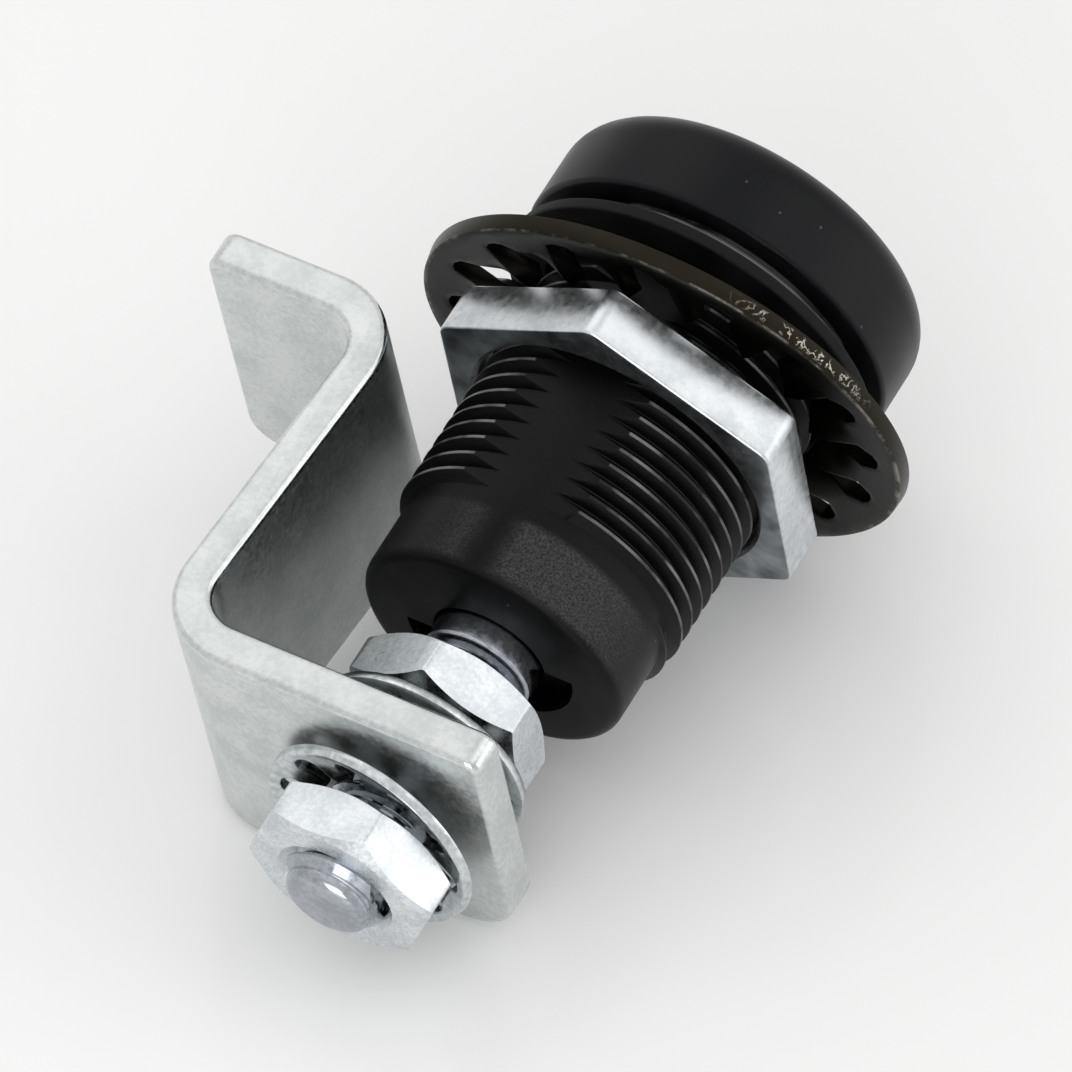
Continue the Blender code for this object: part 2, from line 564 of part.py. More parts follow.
def make_cam():
    """One strip, cranked twice: its edge outline is drawn in X and Z and then given its width along Y."""
    half = CAM_THICKNESS / 2
    lean = math.atan2(CAM_LEAN, CAM_OFFSET)
    seat_middle, tip_middle = CAM_SEAT + half, CAM_SEAT - CAM_OFFSET + half
    heel = CAM_HEEL - half / math.cos(lean)
    toe = heel - CAM_LEAN
    corners = [(-CAM_TAIL, seat_middle), (heel, seat_middle), (toe, tip_middle), (CAM_REACH, tip_middle)]
    route = [Vector(corner) for corner in corners]
    middle = CAM_BEND + half
    line = [route[0]]
    for before, corner, after in zip(route, route[1:], route[2:]):
        back, on = (before - corner).normalized(), (after - corner).normalized()
        opening = back.angle(on)
        reach = middle / math.tan(opening / 2)
        centre = corner + (back + on).normalized() * middle / math.sin(opening / 2)
        first, last = corner + back * reach - centre, corner + on * reach - centre
        sweep = last.angle_signed(first)
        for i in range(CURVE_STEPS + 1):
            line.append(centre + Matrix.Rotation(sweep * i / CURVE_STEPS, 2) @ first)
    line.append(route[-1])
    shape = bmesh.new()
    walls = []
    for i, point in enumerate(line):
        ahead = line[min(i + 1, len(line) - 1)] - line[max(i - 1, 0)]
        normal = Vector((-ahead.y, ahead.x)).normalized()
        if 0 < i < len(line) - 1:
            step = (line[i] - line[i - 1]).normalized() + (line[i + 1] - line[i]).normalized()
            normal = Vector((-step.y, step.x)).normalized()
        outer, inner = point + normal * half, point - normal * half
        walls.append([shape.verts.new((p.x, -CAM_WIDTH / 2, p.y)) for p in (outer, inner)])
    faces = [shape.faces.new((a[0], a[1], b[1], b[0])) for a, b in zip(walls, walls[1:])]
    pushed = bmesh.ops.extrude_face_region(shape, geom=faces)
    moved = [v for v in pushed["geom"] if isinstance(v, bmesh.types.BMVert)]
    bmesh.ops.translate(shape, verts=moved, vec=(0, CAM_WIDTH, 0))
    bmesh.ops.recalc_face_normals(shape, faces=shape.faces)
    corner_round(shape, -CAM_TAIL, seat_middle, 1, CAM_TAIL_ROUND_RADIUS)
    corner_round(shape, -CAM_TAIL, seat_middle, -1, CAM_CORNER_ROUND)
    corner_round(shape, CAM_REACH, tip_middle, 1, CAM_TIP_ROUND_RADIUS)
    corner_round(shape, CAM_REACH, tip_middle, -1, CAM_CORNER_ROUND)
    cam = object_from("cam", shape, zinc_plate)
    edges = cam.modifiers.new("Edges", "BEVEL")
    edges.width = CAM_EDGE_ROUND * MM
    edges.segments = 2
    edges.limit_method = "ANGLE"
    edges.angle_limit = math.radians(50)
    below, above = CAM_SEAT - CUT_PAST, CAM_SEAT + CAM_THICKNESS + CUT_PAST
    hole = cylinder("cam_hole", SCREW_RADIUS + KEY_FIT, below, above)
    key, reach = SCREW_FLAT + KEY_FIT, 2 * SCREW_RADIUS
    keys = block("cam_hole_flats", (-key, -reach, below - CUT_PAST), (key, reach, above + CUT_PAST))
    change(hole, keys, "INTERSECT")
    change(cam, hole)


def corner_round(shape, x, z, side, radius):
    """Rounds the strip's own corner at this end and side, in the plane of its plate."""

    def at_corner(point):
        return abs(point.x - x) < 0.01 and point.y * side > 0 and abs(point.z - z) < CAM_THICKNESS

    near = [edge for edge in shape.edges if all(at_corner(vert.co) for vert in edge.verts)]
    bmesh.ops.bevel(shape, geom=near, offset=radius, segments=4, profile=0.5, affect="EDGES", material=-1)


for leftover in list(bpy.data.objects):
    bpy.data.objects.remove(leftover, do_unlink=True)

pieces = bpy.data.collections.new("cam_latch")
cutters = bpy.data.collections.new("cutters")
for collection in (pieces, cutters):
    bpy.context.scene.collection.children.link(collection)

latch_axis = bpy.data.objects.new("latch_axis", None)
latch_axis.rotation_euler = (math.radians(-90), 0, 0)
pieces.objects.link(latch_axis)

nylon = new_material("glass_filled_nylon", "1b1b1d", 0.5, 0.0)
cap_lacquer = new_material("satin_black_lacquer", "14151a", 0.35, 0.0)
rubber = new_material("black_rubber", "101011", 0.7, 0.0)
oxide_steel = new_material("black_oxide_steel", "3a3733", 0.45, 0.8)
zinc_plate = new_material("zinc_plated_steel", "c3c7c8", 0.35, 1.0)
zinc_dark = new_material("black_zinc", "2a2b2e", 0.4, 0.7)
spring_steel = new_material("spring_steel", "8a8c8e", 0.3, 1.0)

make_housing()
make_head_cap()
make_head_rings()
make_driver()
make_spring()
make_guide_sleeve()
make_shaft()
make_cam()
nut(
    "panel_nut",
    PANEL_NUT_ACROSS,
    THREAD_RADIUS + RUN,
    PANEL_NUT_BACK,
    PANEL_NUT_THICKNESS,
    PANEL_NUT_TURN,
    PANEL_NUT_CHAMFER,
)
jam_nut("inner_jam_nut", INNER_NUT_BACK, INNER_NUT_TURN)
jam_nut("outer_jam_nut", OUTER_NUT_BACK, OUTER_NUT_TURN)
toothed_washer(
    "panel_lock_washer",
    PANEL_WASHER_RADIUS,
    PANEL_WASHER_RING,
    PANEL_WASHER_BORE,
    PANEL_WASHER_TEETH,
    PANEL_WASHER_THICKNESS,
    PANEL_WASHER_DISH,
    PANEL_WASHER_TWIST,
    PANEL_WASHER_PLACE,
    PANEL_WASHER_LEAN,
)
for name, place, lean, flip in (
    ("inner_lock_washer", INNER_WASHER_PLACE, INNER_WASHER_LEAN, -1),
    ("outer_lock_washer", OUTER_WASHER_PLACE, OUTER_WASHER_LEAN, 1),
):
    toothed_washer(
        name,
        SMALL_WASHER_RADIUS,
        SMALL_WASHER_RING,
        SMALL_WASHER_BORE,
        SMALL_WASHER_TEETH,
        SMALL_WASHER_THICKNESS,
        SMALL_WASHER_DISH,
        SMALL_WASHER_TWIST,
        place,
        lean,
        flip,
    )
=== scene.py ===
# %% [markdown]
# # A panel cam latch
#
# The latch goes through a hole in a cabinet's door. A key turns the driver in its head, the cam at the
# other end swings behind the frame, and the last quarter turn draws the cam in and squeezes the gasket.
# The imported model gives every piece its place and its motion. This file gives each one its fine form and
# its finish: a real helical thread, rolled edges, zinc plate, black oxide and glass-filled nylon.

# %% The frame
import math

import bmesh
import bpy
from mathutils import Matrix, Vector


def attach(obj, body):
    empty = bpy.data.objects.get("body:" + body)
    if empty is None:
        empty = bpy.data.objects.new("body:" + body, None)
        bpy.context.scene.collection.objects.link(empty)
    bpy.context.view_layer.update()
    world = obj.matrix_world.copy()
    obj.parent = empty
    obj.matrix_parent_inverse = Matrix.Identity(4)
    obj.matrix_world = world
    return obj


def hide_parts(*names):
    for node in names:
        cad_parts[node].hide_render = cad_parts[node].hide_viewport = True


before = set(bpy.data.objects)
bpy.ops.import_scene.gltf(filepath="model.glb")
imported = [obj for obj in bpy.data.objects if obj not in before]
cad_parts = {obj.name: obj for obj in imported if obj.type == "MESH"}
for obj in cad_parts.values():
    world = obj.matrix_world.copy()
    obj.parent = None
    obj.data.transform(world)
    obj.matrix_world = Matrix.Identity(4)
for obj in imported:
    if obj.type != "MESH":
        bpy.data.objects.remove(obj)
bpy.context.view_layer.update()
print("nodes in the frame:", len(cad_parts))

# %% [markdown]
# ## Units and the latch's own axis
#
# A latch maker draws along the axis, so each piece is drawn in millimetres with its axis along Z and the
# head at negative Z. The last step of every piece lays that axis along world +Y and turns the millimetres
# to metres in the mesh itself, so that each object stays at the origin, unturned and unscaled.

# %% Laying a piece down and handing it over
MM = 0.001
LAY_DOWN = Matrix.Rotation(math.radians(-90), 3, "X")
SMOOTH_ANGLE = math.radians(32)


def hand_over(shape, name, body, node, material):
    """Makes the drawn shape an object that rides on its body and stands for its node."""
    bmesh.ops.rotate(shape, verts=shape.verts, matrix=LAY_DOWN)
    bmesh.ops.scale(shape, verts=shape.verts, vec=(MM, MM, MM))
    mesh = bpy.data.meshes.new(name)
    shape.to_mesh(mesh)
    shape.free()
    mesh.shade_smooth()
    mesh.set_sharp_from_angle(angle=SMOOTH_ANGLE)
    mesh.materials.clear()
    mesh.materials.append(material)
    piece = bpy.data.objects.new(name, mesh)
    bpy.context.scene.collection.objects.link(piece)
    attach(piece, body)
    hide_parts(node)
    print(name, "has", len(mesh.polygons), "faces")


print("an axis along Z comes to lie along", [round(part) for part in LAY_DOWN @ Vector((0, 0, 1))])

# %% [markdown]
# ## Outlines with fillets
#
# Most of the latch comes off a lathe. A turned piece is its half outline spun round the axis. Its corners
# are filleted in the outline, which gives cleaner edges than a bevel on the finished surface.

# %% An outline's fillets
def filleted(corners, steps, closed=True):
    """An outline of (x, y, fillet) corners with the fillets drawn as arcs."""
    points = []
    last = len(corners) - 1
    for i, (x, y, radius) in enumerate(corners):
        here = Vector((x, y))
        if radius == 0 or (not closed and i in (0, last)):
            points.append(here)
            continue
        back = (Vector(corners[i - 1][:2]) - here).normalized()
        on = (Vector(corners[(i + 1) % len(corners)][:2]) - here).normalized()
        half = back.angle(on) / 2
        centre = here + (back + on).normalized() * radius / math.sin(half)
        first = here + back * radius / math.tan(half) - centre
        final = here + on * radius / math.tan(half) - centre
        sweep = final.angle_signed(first)
        for k in range(steps + 1):
            points.append(centre + Matrix.Rotation(sweep * k / steps, 2) @ first)
    return points


print("a filleted corner has", len(filleted([(0, 0, 0), (1, 0, 0.2), (1, 1, 0)], 5)) - 2, "points")

# %% [markdown]
# ## Turning and sweeping
#
# A full spin merges its first and last copy, then doubles on the axis are merged and the normals made
# again, because a spin can turn a shape inside out. A part turn that climbs gives threads and slots.

# %% Turned and swept shapes
FULL_TURN = 2 * math.pi
MERGE = 1e-4
ALONG = (0, 0, 1)
ORIGIN = (0, 0, 0)


def tidied(shape):
    """The shape with its doubles merged and its normals pointing outwards."""
    bmesh.ops.remove_doubles(shape, verts=shape.verts, dist=MERGE)
    bmesh.ops.recalc_face_normals(shape, faces=shape.faces)
    return shape


def turned(corners, fillet_steps=5, steps=144):
    """Spins an outline of (radius, place, fillet); one that starts and ends on the axis stays open there."""
    on_axis = corners[0][0] == 0 and corners[-1][0] == 0
    points = filleted(corners, fillet_steps, closed=not on_axis)
    shape = bmesh.new()
    line = [shape.verts.new((p.x, 0, p.y)) for p in points]
    loop = line if on_axis else line + line[:1]
    edges = [shape.edges.new(pair) for pair in zip(loop, loop[1:])]
    bmesh.ops.spin(
        shape, geom=line + edges, cent=ORIGIN, axis=ALONG, angle=FULL_TURN, steps=steps, use_merge=True
    )
    return tidied(shape)


def swept(corners, degrees, steps, climb=0.0, start=0.0):
    """Sweeps a closed section of (radius, place) corners round the axis; climb is its rise at each step."""
    shape = bmesh.new()
    place = Matrix.Rotation(math.radians(start), 3, "Z")
    face = shape.faces.new([shape.verts.new(place @ Vector((r, 0, z))) for r, z in corners])
    bmesh.ops.spin(
        shape,
        geom=[face, *face.edges, *face.verts],
        cent=ORIGIN,
        axis=ALONG,
        dvec=(0, 0, climb),
        angle=math.radians(degrees),
        steps=steps,
    )
    return shape


trial = turned([(0, 0, 0), (1, 0, 0.2), (1, 1, 0), (0, 1, 0)])
print("a small turned disc has", len(trial.faces), "faces")
trial.free()

# %% [markdown]
# ## Cutting and rolling edges
#
# Flats, bores and sockets are cut with a Boolean, as a mill or a drill cuts them, because their edges on a
# thread are too irregular to draw. A bevel on the sharp edges then stands for tumbling.

# %% Cutters, Booleans and rolled edges
def combined(base, tool, operation):
    """Joins or cuts two closed shapes with a Boolean and returns the result as a new shape."""
    pair = []
    for shape in (base, tool):
        mesh = bpy.data.meshes.new("working")
        shape.to_mesh(mesh)
        shape.free()
        body = bpy.data.objects.new("working", mesh)
        bpy.context.scene.collection.objects.link(body)
        pair.append(body)
    step = pair[0].modifiers.new("step", "BOOLEAN")
    step.object = pair[1]
    step.operation = operation
    graph = bpy.context.evaluated_depsgraph_get()
    made = bpy.data.meshes.new_from_object(pair[0].evaluated_get(graph))
    result = bmesh.new()
    result.from_mesh(made)
    bpy.data.meshes.remove(made)
    for body in pair:
        mesh = body.data
        bpy.data.objects.remove(body)
        bpy.data.meshes.remove(mesh)
    return result


def box(low, high):
    """A block between two opposite corners."""
    shape = bmesh.new()
    bmesh.ops.create_cube(shape, size=1.0)
    bmesh.ops.scale(shape, verts=shape.verts, vec=[b - a for a, b in zip(low, high)])
    bmesh.ops.translate(shape, verts=shape.verts, vec=[(a + b) / 2 for a, b in zip(low, high)])
    return shape


def hexagon(across, bottom, top, turn):
    """A hexagon bar on the axis by its width across flats, with one corner turn degrees from +X."""
    shape = bmesh.new()
    corner = across / math.sqrt(3)
    bmesh.ops.create_cone(
        shape, cap_ends=True, segments=6, radius1=corner, radius2=corner, depth=top - bottom
    )
    shape.verts.ensure_lookup_table()
    now = math.atan2(shape.verts[0].co.y, shape.verts[0].co.x)
    bmesh.ops.rotate(shape, verts=shape.verts, matrix=Matrix.Rotation(math.radians(turn) - now, 3, "Z"))
    bmesh.ops.translate(shape, verts=shape.verts, vec=(0, 0, (bottom + top) / 2))
    return shape


def rolled(shape, edges, width, segments):
    """Rounds some edges off, by a width in millimetres; the clamp keeps neighbouring bevels apart."""
    bmesh.ops.bevel(
        shape,
        geom=edges,
        offset=width,
        segments=segments,
        profile=0.5,
        affect="EDGES",
        clamp_overlap=True,
        material=-1,
    )


def sharp_edges(shape, least):
    """The edges at which two faces meet at more than least degrees."""
    return [e for e in shape.edges if len(e.link_faces) == 2 and e.calc_face_angle(0) > math.radians(least)]


trial = hexagon(10.0, 0, 5, 0)
print("a hexagon bar has", len(sharp_edges(trial, 40)), "sharp edges")
trial.free()

# %% [markdown]
# ## Materials
#
# Colours are written as the hex codes that a colour picker shows, and one function turns them to the
# linear values that shaders use. Every pattern is sized from something real in millimetres. One function
# adds any node: its inputs come by place or by name, as values, colour codes or other nodes' outputs.

# %% Colours and nodes
def linear(code):
    """Linear colour from an sRGB code such as 1c1c1e."""
    parts = [int(code[i : i + 2], 16) / 255 for i in (0, 2, 4)]
    return [c / 12.92 if c <= 0.04045 else ((c + 0.055) / 1.055) ** 2.4 for c in parts] + [1.0]


def live(sockets, key):
    """The socket with this name, or at this place, among those that the node's settings leave in use."""
    used = [socket for socket in sockets if socket.enabled]
    return used[key] if isinstance(key, int) else next(s for s in used if s.name == key)


def add(material, kind, inputs=(), output=0, ramp=(), to=None, **settings):
    """Adds one node with its settings, its links and a ramp's (stop, code) pairs, and returns an output."""
    tree = material.node_tree
    node = tree.nodes.new("ShaderNode" + kind)
    for key, value in settings.items():
        setattr(node, key, value)
    while len(ramp) > 2 and len(node.color_ramp.elements) < len(ramp):
        node.color_ramp.elements.new(0.5)
    for i, (stop, code) in enumerate(ramp):
        node.color_ramp.elements[i].position = stop
        node.color_ramp.elements[i].color = linear(code)
    for key, value in inputs.items() if isinstance(inputs, dict) else enumerate(inputs):
        socket = live(node.inputs, key)
        if isinstance(value, bpy.types.NodeSocket):
            tree.links.new(value, socket)
        else:
            socket.default_value = linear(value) if isinstance(value, str) else value
    result = live(node.outputs, output)
    if to is not None:
        tree.links.new(result, to)
    return result


def per_mm(size):
    """The texture scale at which a pattern repeats about every size millimetres."""
    return 1 / (size * MM)


def new_material(name, roughness, metallic, gloss=0.5):
    """A material and its shader's inputs."""
    material = bpy.data.materials.new(name)
    material.use_nodes = True
    shader = material.node_tree.nodes["Principled BSDF"].inputs
    shader["Roughness"].default_value = roughness
    shader["Metallic"].default_value = metallic
    shader["Specular IOR Level"].default_value = gloss
    print("material:", name)
    return material, shader


def from_axis(material, position):
    """The arm from the latch's axis to a place, and that arm's length."""
    arm = add(material, "VectorMath", [position, (1, 0, 1)], operation="MULTIPLY")
    return arm, add(material, "VectorMath", [arm], operation="LENGTH")


def squareness(material, arm, side):
    """How squarely an arm points to a side of the latch, from -1 to 1."""
    outward = add(material, "VectorMath", [arm], operation="NORMALIZE")
    return add(material, "VectorMath", [outward, side], operation="DOT_PRODUCT")


print("the mid grey 808080 is", round(linear("808080")[0], 3), "as a linear value")

# %% [markdown]
# ### Zinc plate
#
# The cam, nuts and shaft are steel with clear-passivated zinc. Tumbled blanks keep a pebbled skin of about
# half a millimetre under the plate, which breaks the highlights up. The plate clouds over a few
# millimetres, so a noise moves both colour and roughness. Rolled corners are burnished brighter.

# %% Zinc plate
CLOUD = 2.6
CLOUD_SHARE = 0.45


def zinc_plate(name, tones, axis, roughness, pebble, depth, face_shade_tone=None):
    """Zinc plate; roughness is for the plain sides, the faces that look along axis, and the corners."""
    plain, faced, burnished = roughness
    material, shader = new_material(name, plain, 1.0)
    position = add(material, "TexCoord", output="Object")
    cloud = add(material, "TexNoise", {"Vector": position, "Scale": per_mm(CLOUD), "Detail": 3.0})
    grain = add(material, "TexNoise", {"Vector": position, "Scale": per_mm(pebble), "Roughness": 0.6})
    clouds = add(material, "Math", [cloud, CLOUD_SHARE], operation="MULTIPLY")
    mottle = add(material, "Math", [grain, 1 - CLOUD_SHARE, clouds], operation="MULTIPLY_ADD")
    colour = add(material, "ValToRGB", [mottle], ramp=((0.4, tones[0]), (0.6, tones[1])))
    facing = add(material, "SeparateXYZ", [add(material, "TexCoord", output="Normal")], axis)
    along = add(material, "Math", [facing], operation="ABSOLUTE")
    # A face tone paints the faces that look along the axis darker and clouded: painted shade.
    if face_shade_tone:
        on_face = add(material, "MapRange", [along, 0.8, 0.95, 0.0, 1.0])
        dull = add(material, "ValToRGB", [cloud], ramp=((0.3, face_shade_tone), (0.8, tones[0])))
        colour = add(material, "Mix", [on_face, colour, dull], data_type="RGBA")
    material.node_tree.links.new(colour, shader["Base Color"])
    base = add(material, "MapRange", [along, 0.8, 0.95, plain, faced])
    off_side = add(material, "MapRange", [along, 0.05, 0.2, 0.0, burnished - plain])
    off_face = add(material, "MapRange", [along, 0.85, 0.97, 1.0, 0.0])
    cornered = add(material, "Math", [off_side, off_face, base], operation="MULTIPLY_ADD")
    grainy = add(material, "MapRange", [grain, 0.3, 0.7, -0.05, 0.06])
    add(material, "Math", [cornered, grainy], to=shader["Roughness"], operation="ADD")
    add(material, "Bump", {"Height": grain, "Strength": 0.4, "Distance": depth * MM}, to=shader["Normal"])
    return material


# Pressed and tumbled strip: an even pale satin with soft pebbles, and bright lines along the rolled edges.
cam_zinc = zinc_plate(
    "clear_zinc_plate_on_pressed_steel", ("c6cbcb", "dadddc"), "Z", (0.4, 0.4, 0.18), pebble=0.42, depth=0.012
)
# Cold-formed nuts: the tool leaves smooth flats, so they mirror the lamps a little more sharply.
nut_zinc = zinc_plate(
    "clear_zinc_plate_on_cold_formed_steel",
    ("c6cbcf", "e4e7e9"),
    "Y",
    (0.32, 0.26, 0.32),
    pebble=0.34,
    depth=0.012,
)
# Sawn from bar: its two faces are painted darker and clouded beside the flats, as painted shade for the dark
# surroundings that they mirror.
panel_nut_zinc = zinc_plate(
    "clear_zinc_plate_with_painted_face_shade",
    ("c6cbcf", "e0e3e5"),
    "Y",
    (0.32, 0.34, 0.32),
    pebble=0.6,
    depth=0.005,
    face_shade_tone="5f6467",
)
# Turned and ground: nearly a mirror, so it looks darker than the nuts round it.
shaft_zinc = zinc_plate(
    "clear_zinc_plate_on_turned_steel", ("9a9fa6", "b2b6bc"), "Y", (0.17, 0.17, 0.17), pebble=0.4, depth=0.008
)

# %% [markdown]
# ### The small washers' plate
#
# A stamped tooth washer is plated in a barrel, and its open ring comes out bright. Its teeth and the side
# that faces the next piece lie in a shaded gap, and are painted dark and mottled: painted shade. The
# distance from the axis finds the teeth, and the normal finds the back.

# %% Bright plate with painted shade
SMALL_RING_INSIDE = 6.7


def washer_plate_with_painted_shade():
    """Bright on the open ring, with painted shade on the teeth and the back."""
    material, shader = new_material("zinc_plate_with_painted_shade_on_spring_steel", 0.24, 1.0)
    position = add(material, "TexCoord", output="Object")
    _, radius = from_axis(material, position)
    edge = SMALL_RING_INSIDE * MM
    teeth = add(material, "MapRange", [radius, edge - 0.5 * MM, edge + 0.1 * MM, 1.0, 0.0])
    facing = add(material, "SeparateXYZ", [add(material, "TexCoord", output="Normal")], "Y")
    back = add(material, "MapRange", [facing, -0.6, -0.2, 1.0, 0.0])
    hidden = add(material, "Math", [teeth, back], operation="MAXIMUM")
    grain = add(material, "TexNoise", {"Vector": position, "Scale": per_mm(0.6), "Detail": 3.0})
    bright = add(material, "ValToRGB", [grain], ramp=((0.35, "b7bdc0"), (0.65, "dcdfe0")))
    # Painted shade: the teeth and the back are coloured dark for the gap that they lie in.
    painted_shade = add(material, "ValToRGB", [grain], ramp=((0.4, "181c1c"), (0.75, "6d736d")))
    add(material, "Mix", [hidden, bright, painted_shade], to=shader["Base Color"], data_type="RGBA")
    add(material, "Bump", {"Height": grain, "Strength": 0.4, "Distance": 0.02 * MM}, to=shader["Normal"])
    return material


# Plated in a barrel: a bright open ring, with painted shade on the teeth and the back.
washer_zinc_with_painted_shade = washer_plate_with_painted_shade()

# %% [markdown]
# ### Dust
#
# Black satin shows every speck of lint, and a black piece without any looks like a drawing. A Voronoi
# texture's distance is small only near its points, so a low limit on it leaves one round speck in each cell.

# %% Specks of dust
SPECK_SPACING = 3.0


def dusted(material, colour, position, code, to):
    """Puts specks of lint over a colour, each about a quarter of a millimetre across."""
    cell = add(material, "TexVoronoi", {"Vector": position, "Scale": per_mm(SPECK_SPACING)})
    shown = add(material, "MapRange", [cell, 0.022, 0.045, 1.0, 0.0])
    add(material, "Mix", [shown, colour, code], to=to, data_type="RGBA")


print("specks of dust lie about", SPECK_SPACING, "mm apart")

# %% [markdown]
# ### Glass-filled nylon
#
# The housing is moulded in black nylon with short glass fibres. The fibres lie in the skin, so a raking
# light shows fine grey flecks and an uneven satin. The mould's nose was etched, which leaves a grey frosting,
# painted brightest beside one flat and fading away from it: a painted sheen. The thread's crests are
# painted grey: a painted highlight.

# %% Glass-filled nylon
THREAD_RADIUS = 11.0
THREAD_TOP = 22.6
NOSE_RADIUS = 10.2
SHEEN_SIDE = (-0.5, 0.0, 0.866)


def glass_filled_nylon():
    """Black satin with fibres; a fleck is 0.16 mm, coarser than the real fibre, so that it shows."""
    material, shader = new_material("glass_filled_nylon", 0.4, 0.0, gloss=0.13)
    position = add(material, "TexCoord", output="Object")
    along = add(material, "SeparateXYZ", [position], "Y")
    arm, radius = from_axis(material, position)
    towards_sheen = squareness(material, arm, SHEEN_SIDE)
    fleck = add(
        material, "TexNoise", {"Vector": position, "Scale": per_mm(0.16), "Detail": 3.0, "Roughness": 0.7}
    )
    cloud = add(material, "TexNoise", {"Vector": position, "Scale": per_mm(4.0), "Detail": 3.0})
    skin = add(material, "ValToRGB", [fleck], ramp=((0.4, "050505"), (0.62, "090909"), (0.8, "181818")))
    etched = add(material, "ValToRGB", [fleck], ramp=((0.35, "161616"), (0.68, "444444")))
    painted_crest_highlight = add(material, "ValToRGB", [cloud], ramp=((0.4, "1c1c1c"), (0.6, "707070")))
    past_thread = add(material, "MapRange", [along, THREAD_TOP * MM, (THREAD_TOP + 0.6) * MM, 0.0, 1.0])
    low, high = (NOSE_RADIUS - 0.2) * MM, (NOSE_RADIUS - 0.02) * MM
    off_flat = add(material, "MapRange", [radius, low, high, 0.0, 1.0])
    # Painted sheen: the nose's grey flecks are shown most on one side, beside a flat, and fade away from it.
    painted_sheen = add(material, "MapRange", [towards_sheen, 0.6, 0.97, 0.25, 1.0])
    on_nose = add(material, "Math", [past_thread, off_flat], operation="MULTIPLY")
    on_nose = add(material, "Math", [on_nose, painted_sheen], operation="MULTIPLY")
    nosed = add(material, "Mix", [on_nose, skin, etched], data_type="RGBA")
    # Painted highlight: the thread's crests are coloured grey.
    low, high = (THREAD_RADIUS - 0.05) * MM, (THREAD_RADIUS - 0.01) * MM
    on_crest = add(material, "MapRange", [radius, low, high, 0.0, 1.0])
    crested = add(material, "Mix", [on_crest, nosed, painted_crest_highlight], data_type="RGBA")
    dusted(material, crested, position, "484848", shader["Base Color"])
    add(material, "MapRange", [cloud, 0.35, 0.65, 0.36, 0.46], to=shader["Roughness"])
    add(material, "Bump", {"Height": fleck, "Strength": 0.35, "Distance": 0.02 * MM}, to=shader["Normal"])
    return material


# Moulded with glass fibre in an etched mould: black satin with fine grey flecks, a nose of grey frosting with
# a painted sheen on one side, and crests painted grey as a highlight.
nylon = glass_filled_nylon()

# %% [markdown]
# ### The head's lacquer, the rubber and the dark metals
#
# The cap is sprayed with a satin black lacquer over steel: a dense black whose haze of a few millimetres
# only shows in the sheen. The rubber is duller and has a fine grain from its mould. The driver and the
# hidden springs are metals whose thin skins wear unevenly, so a noise runs between a dark and a light tone.

# %% Lacquer, rubber and dark metals
def satin_lacquer():
    """Sprayed satin lacquer: smooth and dense, with a faint orange peel of a third of a millimetre."""
    material, shader = new_material("satin_black_lacquer_on_steel", 0.3, 0.0, gloss=0.16)
    position = add(material, "TexCoord", output="Object")
    peel = add(material, "TexNoise", {"Vector": position, "Scale": per_mm(0.35)})
    haze = add(material, "TexNoise", {"Vector": position, "Scale": per_mm(6.0)})
    paint = add(material, "ValToRGB", [haze], ramp=((0.35, "08090c"), (0.65, "0c0d11")))
    dusted(material, paint, position, "4a4a4c", shader["Base Color"])
    add(material, "MapRange", [haze, 0.35, 0.65, 0.31, 0.4], to=shader["Roughness"])
    add(material, "Bump", {"Height": peel, "Strength": 0.15, "Distance": 0.01 * MM}, to=shader["Normal"])
    return material


def moulded_rubber():
    """Moulded nitrile rubber: a dull black that scatters what little it throws back."""
    material, shader = new_material("nitrile_rubber", 0.62, 0.0, gloss=0.2)
    shader["Base Color"].default_value = linear("0a0a0b")
    position = add(material, "TexCoord", output="Object")
    grain = add(material, "TexNoise", {"Vector": position, "Scale": per_mm(0.3), "Detail": 3.0})
    add(material, "Bump", {"Height": grain, "Strength": 0.3, "Distance": 0.02 * MM}, to=shader["Normal"])
    return material


def dark_metal(name, dark, light, roughness):
    """A metal with a thin dark skin that is worn lighter in places."""
    material, shader = new_material(name, roughness, 0.9)
    position = add(material, "TexCoord", output="Object")
    wear = add(material, "TexNoise", {"Vector": position, "Scale": per_mm(1.2), "Detail": 4.0})
    add(material, "ValToRGB", [wear], ramp=((0.4, dark), (0.75, light)), to=shader["Base Color"])
    grain = add(material, "TexNoise", {"Vector": position, "Scale": per_mm(0.4)})
    add(material, "Bump", {"Height": grain, "Strength": 0.25, "Distance": 0.02 * MM}, to=shader["Normal"])
    return material


# Sprayed and baked over drawn steel: a dense, smooth black in which the lamps lie as a broad sheen.
lacquer = satin_lacquer()
# Pressed in a hot mould: a dull black with a fine grain, darker than everything round it.
rubber = moulded_rubber()
# Black passivation over zinc: a smoky near-black with a little of the metal's shine.
black_zinc = dark_metal("black_passivated_zinc", "1d1e21", "2c2e33", 0.34)
# Drawn wire and ground strip: a mid grey, drawn bright and only oiled.
spring_steel = dark_metal("drawn_spring_steel", "6f7173", "a3a5a7", 0.3)

# %% [markdown]
# ### Black oxide
#
# The big tooth washer is blackened spring steel. The oxide is a warm brown-black. It is worn through on the
# rim: a broken bright line along the front corner, and crazed scuffs on the side that lay against other
# washers. The scuffs are the places where a noise crosses its middle value, which draws thin veins.

# %% Black oxide
WASHER_RIM = 18.5
WASHER_PLACE = 3.085
WASHER_AXIS = (-0.0417, 0.9950, -0.0906)
RUBBED_SIDE = (-0.731, 0.0, 0.682)
VEIN_SPACING = 1.1


